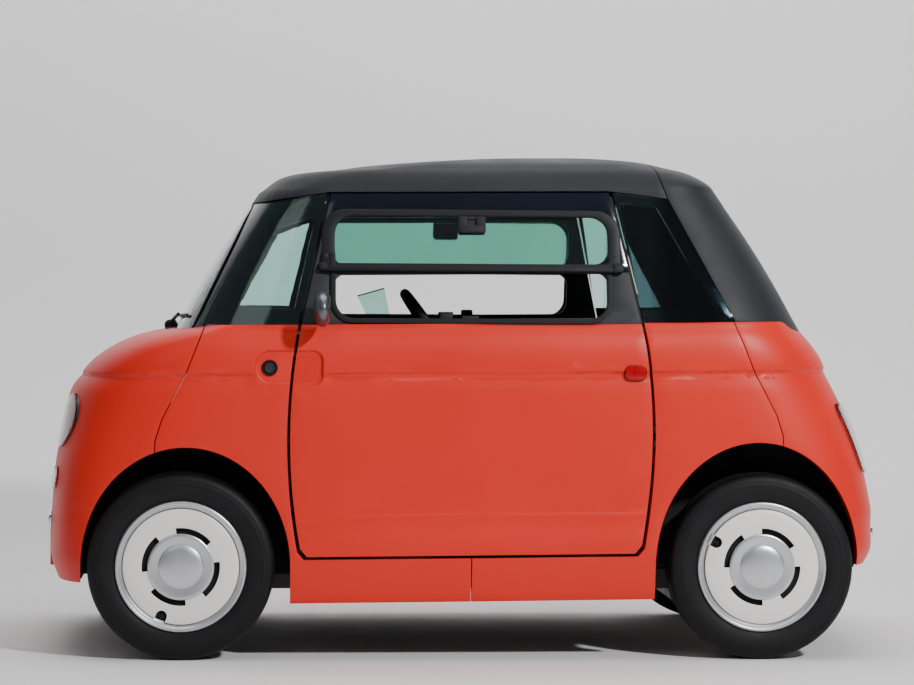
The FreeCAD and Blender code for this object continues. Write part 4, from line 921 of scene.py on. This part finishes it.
# %% Window flap
FLAP_OUT, FLAP_THICK = 0.0055, 0.0115
flap_outer = rounded_outline(-0.449, 0.443, 1.1485, 1.334, (0.072, 0.072, 0.012, 0.012),
                             lambda x, z: on_door(x, z, FLAP_OUT))
flap_inner = rounded_outline(-0.411, 0.404, 1.1735, 1.314, (0.055, 0.055, 0.012, 0.012),
                             lambda x, z: on_door(x, z, FLAP_OUT))
flap_ring = ring_plate("window_flap_ring", flap_outer, flap_inner, OUT_FRAME * FLAP_THICK,
                       bevel=0.0035, segments=3)
on_both_doors(flap_ring, flap_black, "window_flap")
pane_outline = rounded_outline(-0.414, 0.407, 1.1705, 1.317, (0.055, 0.055, 0.012, 0.012),
                               lambda x, z: on_door(x, z, FLAP_OUT + 0.003))
flap_pane = plate("window_flap_pane", pane_outline, OUT_FRAME * 0.004)
on_both_doors(flap_pane, side_glass)
bar_outline = rounded_outline(-0.446, 0.440, 1.1500, 1.1630, (0.005,) * 4,
                              lambda x, z: on_door(x, z, FLAP_OUT + FLAP_THICK - 0.001))
flap_bar = plate("window_flap_bar", bar_outline, OUT_FRAME * 0.005, bevel=0.002)
on_both_doors(flap_bar, rubber)
print("flap faces", len(flap_ring.data.polygons))

# %% Seal, hinge clips, screws and latches
seal_outer = rounded_outline(-0.4225, 0.4165, 0.9985, 1.1500, (0.006, 0.006, 0.066, 0.066),
                             lambda x, z: on_door(x, z, -0.004))
seal_inner = rounded_outline(-0.4065, 0.4005, 1.0135, 1.1490, (0.005, 0.005, 0.052, 0.052),
                             lambda x, z: on_door(x, z, -0.004))
seal = ring_plate("window_seal", seal_outer, seal_inner, OUT_FRAME * 0.0085, bevel=0.003)
on_both_doors(seal, rubber)


def door_block(name, low_x, high_x, low_z, high_z, out, thick, corner, bevel):
    outline = rounded_outline(low_x, high_x, low_z, high_z, (corner,) * 4,
                              lambda x, z: on_door(x, z, out), steps=6)
    return plate(name, outline, OUT_FRAME * thick, bevel=bevel)


FLAP_FACE = FLAP_OUT + FLAP_THICK
DOOR_BLOCKS = [
    # name, x and z range, distance out, thickness, corner and edge radius
    ("flap_clip_front", 0.426, 0.452, 1.1500, 1.1740, 0.000, 0.0225, 0.010, 0.0030),
    ("flap_clip_rear", -0.458, -0.424, 1.1480, 1.1760, 0.000, 0.0225, 0.011, 0.0030),
    ("flap_post_front", 0.402, 0.420, 1.1480, 1.2050, FLAP_FACE - 0.002, 0.004, 0.007, 0.0015),
    ("latch_body", -0.045, 0.038, 1.2600, 1.2840, FLAP_OUT, 0.0280, 0.009, 0.0035),
    ("latch_post_front", 0.008, 0.038, 1.2760, 1.3120, FLAP_OUT, 0.0220, 0.006, 0.0025),
    ("latch_post_rear", -0.045, -0.016, 1.2760, 1.3120, FLAP_OUT, 0.0220, 0.006, 0.0025),
    ("latch_bridge", -0.045, 0.038, 1.3020, 1.3120, FLAP_OUT, 0.0200, 0.004, 0.0020),
    ("latch_back", -0.040, 0.034, 1.2700, 1.3080, FLAP_OUT, 0.0160, 0.004, 0.0020),
    ("sill_latch_front", 0.053, 0.092, 1.0080, 1.0330, -0.020, 0.0120, 0.005, 0.0020),
    ("sill_latch_rear", -0.024, 0.027, 1.0080, 1.0250, -0.020, 0.0120, 0.004, 0.0020),
]
for name, *measures in DOOR_BLOCKS:
    on_both_doors(door_block(name, *measures), plastic)
SCREW_PROFILE = [(0, 0), (0.0058, 0), (0.0058, 0.0014), (0.0045, 0.0026), (0.0026, 0.0030),
                 (0.0024, 0.0016), (0, 0.0016)]
for name, x, z in (("flap_screw_front", 0.4298, 1.194), ("flap_screw_rear", -0.4300, 1.201)):
    screw = spun(name, SCREW_PROFILE, on_door(x, z, FLAP_FACE - 0.0004), OUT_FRAME, 32)
    on_both_doors(screw, satin_grey)
print("door blocks", len(DOOR_BLOCKS))

# %% [markdown]
# Daylight would show through the gaps beside the window frames. On the real car a rubber seal lies
# behind them, so a thin strip is laid there, a little inside the skin and clear of the door.

# %% Rubber in the shut lines beside the windows
BELT_LINE, ROOF_LINE = 1.002, 1.384
BELT_REACH, ROOF_REACH = 0.5095, 0.4215
STRIP_HALF, STRIP_DEEP, STRIP_THICK = 0.0060, 0.021, 0.012


def shut_strip(name, sign):
    corners = []
    for z, reach in ((BELT_LINE, BELT_REACH), (ROOF_LINE, ROOF_REACH)):
        middle = DOOR_MIDDLE + sign * reach
        near = on_door(middle - STRIP_HALF, z, -STRIP_DEEP)
        far = on_door(middle + STRIP_HALF, z, -STRIP_DEEP)
        corners += [near, far] if z == BELT_LINE else [far, near]
    return plate(name, corners, OUT_FRAME * STRIP_THICK, bevel=0.001)


for place, sign in (("front", 1), ("rear", -1)):
    strip = shut_strip(f"shut_strip_{place}", sign)
    twin = changed_copy(strip, strip.name + "_right", TO_RIGHT_DOOR)
    for piece in (strip, twin):
        dress(piece, "car", rubber)
print("strips in the shut lines")

# %% [markdown]
# The mirror is an egg on a short arm. An egg is a ball drawn out of round: a sphere is scaled, its
# rear is cut off flat for the glass, and the cut face is set back inside a rim. The photo shows the
# left one; the right one mirrors it.

# %% Door mirrors
MIRROR_CENTRE = Vector((0.442, 0.748, 1.040))
MIRROR_HALF = Vector((0.0285, 0.075, 0.053))
MIRROR_CUT = 0.021
ARM_Z = 1.015
ARM_RADIUS = 0.011

deselect()
bpy.ops.mesh.primitive_uv_sphere_add(segments=64, ring_count=32, radius=1)
mirror_egg = bpy.context.object
mirror_egg.name = "mirror_egg"
mirror_egg.data.transform(Matrix.Diagonal(MIRROR_HALF.to_4d()))
mirror_egg.data.transform(Matrix.Translation(MIRROR_CENTRE))
for corner in mirror_egg.data.vertices:
    rise = (corner.co.z - MIRROR_CENTRE.z) / MIRROR_HALF.z
    corner.co.x = MIRROR_CENTRE.x + (corner.co.x - MIRROR_CENTRE.x) * (1 + 0.10 * rise)
all_in_edit(mirror_egg)
bpy.ops.mesh.bisect(plane_co=MIRROR_CENTRE - Vector((MIRROR_CUT, 0, 0)), plane_no=(-1, 0, 0),
                    use_fill=True, clear_outer=True)
leave_edit()
tidy_normals(mirror_egg)
for face in mirror_egg.data.polygons:
    face.select = face.normal.x < -0.999 and face.area > 0.001
bpy.ops.object.mode_set(mode="EDIT")
bpy.ops.mesh.select_mode(type="FACE")
bpy.ops.mesh.inset(thickness=0.003)
bpy.ops.mesh.extrude_region_move(TRANSFORM_OT_translate={"value": (0.004, 0, 0)})
leave_edit()
round_edges(mirror_egg, 0.0008, 2, angle=50)
smooth(mirror_egg, 40)
GLASS_SHARE = 0.93
cut_share = math.sqrt(1 - (MIRROR_CUT / MIRROR_HALF.x) ** 2) * GLASS_SHARE
glass_half = Vector((MIRROR_HALF.y, MIRROR_HALF.z)) * cut_share
glass_outline = [MIRROR_CENTRE + Vector((0.0035 - MIRROR_CUT, glass_half.x * math.cos(turn),
                                         glass_half.y * math.sin(turn)))
                 for turn in (math.radians(5 * i) for i in range(72))]
mirror_glass = plate("mirror_glass", glass_outline, (-0.0015, 0, 0))
foot_y = skin_y("door_frame_left", 0.430, ARM_Z)
mirror_arm = tube("mirror_arm", [(0.442, foot_y - 0.006, ARM_Z), (0.442, 0.700, ARM_Z),
                                 (0.442, MIRROR_CENTRE.y - 0.02, ARM_Z + 0.004)], ARM_RADIUS, 24)
mirror_collar = spun("mirror_collar", [(0, 0), (0.020, 0), (0.020, 0.004), (0.0165, 0.010),
                                       (0.0115, 0.013), (0, 0.013)],
                     (0.442, foot_y - 0.004, ARM_Z), (0, 1, 0), 48)
mirror_chrome = finish("mirror_shell", (0.16, 0.17, 0.19), 0.3, drift=0.05, metal=0.85, grain=0.2)
mirror_silver = finish("mirror_silver", (0.80, 0.82, 0.84), 0.03, drift=0.01, metal=1.0,
                       rough_drift=0.01)
for piece, material, node in ((mirror_egg, mirror_chrome, "door_mirror"),
                              (mirror_glass, mirror_silver, None),
                              (mirror_arm, plastic, None), (mirror_collar, plastic, None)):
    name = piece.name
    twin = changed_copy(piece, name + "_right", ACROSS, turns_over=True)
    piece.name = name + "_left"
    for one, side in ((piece, "left"), (twin, "right")):
        dress(one, f"door_{side}", material)
        if node:
            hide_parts(f"{node}_{side}")
print("mirror at", tuple(round(v, 3) for v in MIRROR_CENTRE))

# %% [markdown]
# A small red marker lamp sits in the left door near its rear edge. It has a domed lens with a rib
# down its middle, in a thin bezel. The doors are one moulding turned round, so the right door has
# its own in the same place, which is then near its front edge.

# %% Marker lamps
MARKER = Vector((-0.4882, 0.0, 0.8553))
MARKER_WIDE, MARKER_HIGH = 0.064, 0.044
MARKER_PROUD = 0.0065
marker_y = skin_y("door_shell_left", MARKER.x, MARKER.z)


def marker_outline(low_x, high_x, grow, out):
    return rounded_outline(low_x - grow, high_x + grow, MARKER.z - MARKER_HIGH / 2 - grow,
                           MARKER.z + MARKER_HIGH / 2 + grow, (0.019,) * 4,
                           lambda x, z: Vector((x, marker_y + out, z)), steps=8)


marker_low, marker_high = MARKER.x - MARKER_WIDE / 2, MARKER.x + MARKER_WIDE / 2
marker_bezel = plate("marker_bezel", marker_outline(marker_low, marker_high, 0.0015, -0.006),
                     (0, 0.0085, 0), bevel=0.0012)
marker_lens = plate("marker_lens", marker_outline(marker_low, marker_high, 0, -0.004),
                    (0, MARKER_PROUD + 0.004, 0), bevel=0.0048, segments=5)
RIB_WIDE, RIB_TALL = 0.002, 0.021
rib_corners = [Vector((MARKER.x + x * RIB_WIDE, marker_y + 0.001, MARKER.z + z * RIB_TALL))
               for x, z in ((-1, -1), (1, -1), (1, 1), (-1, 1))]
marker_rib = plate("marker_rib", rib_corners, (0, MARKER_PROUD - 0.0002, 0), bevel=0.0008)
marker_lens = join("marker_lens", [marker_lens, marker_rib])
marker_red = finish("marker_red", (0.38, 0.0, 0.006), 0.1, drift=0.12, patch=60, rough_drift=0.03)
shader_of(marker_red).inputs["Specular IOR Level"].default_value = 0.3
on_both_doors(marker_bezel, tail_red)
on_both_doors(marker_lens, marker_red)
print("marker on skin at y", round(marker_y, 3))

# %% [markdown]
# A lamp is a clear shell over a bright bowl, with a dark rim that meets the panel. The solid fills
# the whole socket, so its outer face is kept as the clear shell, and the bowl and the bulb's ring
# are spun behind it. The tail lamps are tall, with a dark block behind a clear lens.

# %% Lamp parts
LAMP_SHELL = 0.003


def outer_shell(node, name, direction, keep=0.25):
    """The outward faces of a lamp solid, given a thin wall."""
    piece = copy_of(node, name)
    for face in piece.data.polygons:
        face.select = face.normal.x * direction < keep
    bpy.ops.object.mode_set(mode="EDIT")
    bpy.ops.mesh.select_mode(type="FACE")
    bpy.ops.mesh.delete(type="FACE")
    leave_edit()
    select_only(piece)
    wall = piece.modifiers.new("wall", "SOLIDIFY")
    wall.thickness = LAMP_SHELL
    wall.offset = -1
    bpy.ops.object.modifier_apply(modifier=wall.name)
    smooth(piece, 50)
    return piece


bowl_chrome = finish("lamp_bowl", (0.75, 0.76, 0.78), 0.10, drift=0.02, metal=1.0,
                     rough_drift=0.03)
lamp_dark = finish("lamp_dark", (0.02, 0.02, 0.024), 0.35, drift=0.1, grain=0.3)
LAMP_BOXES = {node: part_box(node) for node in nodes if "lamp" in node or "indicator" in node}
HEAD_Y, HEAD_Z = 0.450, 0.700
for side, sign in (("left", 1), ("right", -1)):
    shell = outer_shell(f"headlamp_{side}", f"headlamp_shell_{side}", 1)
    dress(shell, "car", lamp_glass)
    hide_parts(f"headlamp_{side}")
    back_x = LAMP_BOXES[f"headlamp_{side}"][0][0] + 0.012
    place = (back_x, sign * HEAD_Y, HEAD_Z)
    bowl = spun(f"headlamp_bowl_{side}", [
        (0, 0), (0.020, 0.001), (0.040, 0.008), (0.058, 0.022), (0.070, 0.036), (0.070, 0.033),
        (0.058, 0.018), (0.040, 0.004), (0.020, -0.003), (0, -0.003)], place, (1, 0, 0), 96)
    ring = spun(f"headlamp_ring_{side}", [
        (0.030, 0.010), (0.034, 0.010), (0.0355, 0.024), (0.0335, 0.0255), (0.0315, 0.024),
        (0.030, 0.010)], place, (1, 0, 0), 96)
    bulb = spun(f"headlamp_lens_{side}", [
        (0, 0.020), (0.012, 0.0185), (0.022, 0.013), (0.027, 0.004), (0.027, 0.001), (0, 0.001)],
        place, (1, 0, 0), 72)
    rim = spun(f"headlamp_rim_{side}", [
        (0.070, 0.030), (0.0785, 0.030), (0.0785, 0.040), (0.0765, 0.0425), (0.0715, 0.040),
        (0.070, 0.030)], place, (1, 0, 0), 96)
    for piece, material in ((bowl, bowl_chrome), (ring, lamp_dark), (bulb, lamp_glass),
                            (rim, lamp_dark)):
        dress(piece, "car", material)
    lens = outer_shell(f"indicator_{side}", f"indicator_shell_{side}", 1)
    dress(lens, "car", lamp_glass)
    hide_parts(f"indicator_{side}")
    low, high = LAMP_BOXES[f"indicator_{side}"]
    centre = ((low[0] + high[0]) / 2 - 0.012, (low[1] + high[1]) / 2, (low[2] + high[2]) / 2)
    spot = spun(f"indicator_bowl_{side}", [
        (0, 0), (0.016, 0.003), (0.028, 0.012), (0.030, 0.016), (0.030, 0.012), (0.028, 0.007),
        (0.016, -0.001), (0, -0.004)], centre, (1, 0, 0), 72)
    dress(spot, "car", bowl_chrome)
print("front lamps", len(LAMP_BOXES))

# %% Tail lamps
tail_core = finish("tail_core", (0.010, 0.014, 0.024), 0.25, drift=0.1, rough_drift=0.04)
for side, sign in (("left", 1), ("right", -1)):
    node = f"tail_lamp_{side}"
    shell = outer_shell(node, f"tail_lamp_shell_{side}", -1)
    dress(shell, "car", lamp_glass)
    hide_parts(node)
    low, high = LAMP_BOXES[node]
    base = copy_of(node, f"tail_lamp_base_{side}")
    all_in_edit(base)
    bpy.ops.transform.resize(value=(0.72, 0.86, 0.93), center_override=(
        high[0], (low[1] + high[1]) / 2, (low[2] + high[2]) / 2))
    leave_edit()
    round_edges(base, 0.002, 2)
    smooth(base)
    dress(base, "car", tail_core)
print("tail lamps dressed")

# %% [markdown]
# The bright bars on the bumpers are solids already, so they only need soft edges. A slightly
# rounded edge catches the light as rolled metal does.

# %% Trim bars
for node in ("front_trim_bar", "rear_trim_bar"):
    bar = copy_of(node, node + "_soft")
    round_edges(bar, 0.002, 3, angle=40)
    smooth(bar, 40)
    dress(bar, "car", chrome)
    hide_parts(node)
print("bars softened")

# %% [markdown]
# The wiper rests across the foot of the windscreen, on a turning hub over a dark cowl. The blade
# follows the glass: each of its points is found by a ray that meets the screen.

# %% Wiper


def screen_place(y, z, out=0.0):
    """A place over the windscreen's outer face."""
    place, normal = strike("windscreen", (2.0, y, z), (-1, 0, 0))
    return place + normal * (out if normal.x > 0 else -out)


WIPER_PIVOT = Vector((0.898, 0.0, 0.972))
BLADE_START, BLADE_END = (0.06, 1.008), (0.46, 1.016)
BLADE_COUNT = 12
blade_points = []
for step in range(BLADE_COUNT + 1):
    share = step / BLADE_COUNT
    y = BLADE_START[0] + (BLADE_END[0] - BLADE_START[0]) * share
    z = BLADE_START[1] + (BLADE_END[1] - BLADE_START[1]) * share
    blade_points.append(screen_place(y, z, 0.0065))
blade = tube("wiper_blade", blade_points, 0.0045, 12)
arm_points = [WIPER_PIVOT + Vector((0, 0, 0.022)), WIPER_PIVOT + Vector((-0.012, 0.06, 0.036)),
              blade_points[BLADE_COUNT // 2] + Vector((0.006, 0, 0.004))]
arm = tube("wiper_arm", arm_points, 0.0055, 12)
hub = spun("wiper_hub", [(0, -0.016), (0.021, -0.016), (0.021, 0.014), (0.018, 0.022),
                         (0.010, 0.028), (0, 0.028)], WIPER_PIVOT, (0.25, 0, 1), 40)
cowl = rounded_block("wiper_cowl", WIPER_PIVOT + Vector((-0.030, -0.055, -0.020)),
                     WIPER_PIVOT + Vector((0.020, 0.055, 0.004)), 0.008, 4)
for piece in (blade, arm, hub, cowl):
    dress(piece, "car", plastic)
print("wiper of", len(blade_points), "points")

# %% [markdown]
# Through the window the photo shows a small tinted pane with a dark upper edge, in front of the
# steering wheel. What it is can't be seen, so it is a plain thin pane on a short stalk.

# %% Small pane above the dashboard
PANE_Y = -0.02
PANE_CORNERS = ((0.3132, 1.0764), (0.2277, 1.1013), (0.2091, 1.0094), (0.2831, 1.0131))
pane_corners = [Vector((x, PANE_Y, z)) for x, z in PANE_CORNERS]
dash_pane = plate("dash_pane", pane_corners, (0, 0.003, 0))
pane_glass = tinted("pane_glass", (0.36, 0.66, 0.58))
dress(dash_pane, "car", pane_glass)
pane_edge = tube("dash_pane_edge", pane_corners[:2], 0.0022, 12)
dash_box_low, dash_box_high = (Vector(corner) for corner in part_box("dashboard"))
pane_foot = (pane_corners[2] + pane_corners[3]) / 2
STALK_INSET, STALK_SINK = 0.07, 0.01
stalk_foot = Vector((dash_box_low.x + STALK_INSET, PANE_Y, dash_box_high.z - STALK_SINK))
stalk = tube("dash_pane_stalk", [pane_foot + Vector((0, 0, 0.004)),
                                 pane_foot - Vector((0, 0, 0.03)), stalk_foot], 0.006, 16)
for piece in (pane_edge, stalk):
    dress(piece, "car", plastic)
print("pane above the dashboard")

# %% [markdown]
# A seat is foam under a stretched cover, so its sides bulge and its seams pull in. The cushion and
# the back start as slightly small blocks with an even grid of faces, and a short cloth simulation
# with inner pressure swells them. How far a point may move is capped, so they keep inside the space
# of the solid. The sewn channels are pressed in afterwards, because a seam is finer than the grid.

# %% Seat sizes
seat_low, seat_high = (Vector(corner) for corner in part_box("seat_left"))
SEAT_LEAN = math.radians(14)
BACK_THICK, BACK_TALL = 0.100, 0.500
SEAT_BACK_X = seat_low.x + BACK_TALL * math.sin(SEAT_LEAN)
BACK_FOOT = seat_high.z - BACK_TALL * math.cos(SEAT_LEAN) - BACK_THICK * math.sin(SEAT_LEAN)
CUSHION_TOP = 0.520
SEAT_MIDDLE = (seat_low.y + seat_high.y) / 2
SEAT_HALF = (seat_high.y - seat_low.y) / 2
SWELL = 0.011
VOXEL = 0.006
PRESSURE = 4.0
SIM_FRAMES = 20


def swollen(piece):
    """Swell a closed block with a short cloth simulation, capped at SWELL."""
    select_only(piece)
    grid = piece.modifiers.new("grid", "REMESH")
    grid.mode = "VOXEL"
    grid.voxel_size = VOXEL
    bpy.ops.object.modifier_apply(modifier=grid.name)
    rest = [corner.co.copy() for corner in piece.data.vertices]
    skin = piece.modifiers.new("skin", "CLOTH")
    skin.settings.use_pressure = True
    skin.settings.uniform_pressure_force = PRESSURE
    skin.settings.effector_weights.gravity = 0
    for frame_number in range(1, SIM_FRAMES + 1):
        bpy.context.scene.frame_set(frame_number)
    bpy.ops.object.modifier_apply(modifier=skin.name)
    bpy.context.scene.frame_set(1)
    for corner, start in zip(piece.data.vertices, rest):
        move = corner.co - start
        if move.length > SWELL:
            corner.co = start + move.normalized() * SWELL
    finer = piece.modifiers.new("finer", "SUBSURF")
    finer.levels = finer.render_levels = 1
    bpy.ops.object.modifier_apply(modifier=finer.name)
    return piece


def press_channels(piece, axis, places, facing, depth=0.007, width=0.007):
    """Press sewn channels into the side that faces one way."""
    facing = Vector(facing)
    normals = [corner.normal.copy() for corner in piece.data.vertices]
    for corner, normal in zip(piece.data.vertices, normals):
        if normal.dot(facing) > 0.4:
            near = min(abs(corner.co[axis] - place) for place in places)
            corner.co -= normal * depth * math.exp(-(near / width) ** 2)
    piece.data.update()


print("seat from", [round(v, 3) for v in seat_low], "to", [round(v, 3) for v in seat_high])

# %% Seat cushion and back
cushion_low = (SEAT_BACK_X + BACK_THICK + SWELL, SEAT_MIDDLE - SEAT_HALF + SWELL,
               seat_low.z + SWELL)
cushion_high = (seat_high.x - SWELL, SEAT_MIDDLE + SEAT_HALF - SWELL, CUSHION_TOP - SWELL)
cushion = rounded_block("seat_cushion", cushion_low, cushion_high, 0.034, 5)
swollen(cushion)
press_channels(cushion, 1, [SEAT_MIDDLE - 0.115, SEAT_MIDDLE + 0.115], (0, 0, 1))
press_channels(cushion, 0, [seat_high.x - 0.075], (0, 0, 1), depth=0.005)
back = rounded_block("seat_back", (SWELL, SWELL - SEAT_HALF, SWELL),
                     (BACK_THICK - SWELL, SEAT_HALF - SWELL, BACK_TALL - SWELL), 0.034, 5)
swollen(back)
press_channels(back, 1, [-0.115, 0.115], (1, 0, 0))
press_channels(back, 2, [BACK_TALL - 0.13, 0.16], (1, 0, 0), depth=0.005)
lean = Matrix.Rotation(-SEAT_LEAN, 4, "Y")
back.data.transform(Matrix.Translation((SEAT_BACK_X, SEAT_MIDDLE, BACK_FOOT)) @ lean)
shell_high = (SEAT_BACK_X + BACK_THICK + 0.008, seat_high.y - 0.012, BACK_FOOT + 0.004)
shell_block = rounded_block("seat_shell", (SEAT_BACK_X, seat_low.y + 0.012, seat_low.z),
                            shell_high, 0.014, 4)
for piece, material, node in ((cushion, cloth, "seat"), (back, cloth, None),
                              (shell_block, plastic, None)):
    smooth(piece, 60)
    name = piece.name
    twin = changed_copy(piece, name + "_right", ACROSS, turns_over=True)
    piece.name = name + "_left"
    for one, side in ((piece, "left"), (twin, "right")):
        dress(one, "car", material)
        if node:
            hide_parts(f"{node}_{side}")
    print(piece.name, len(piece.data.polygons))
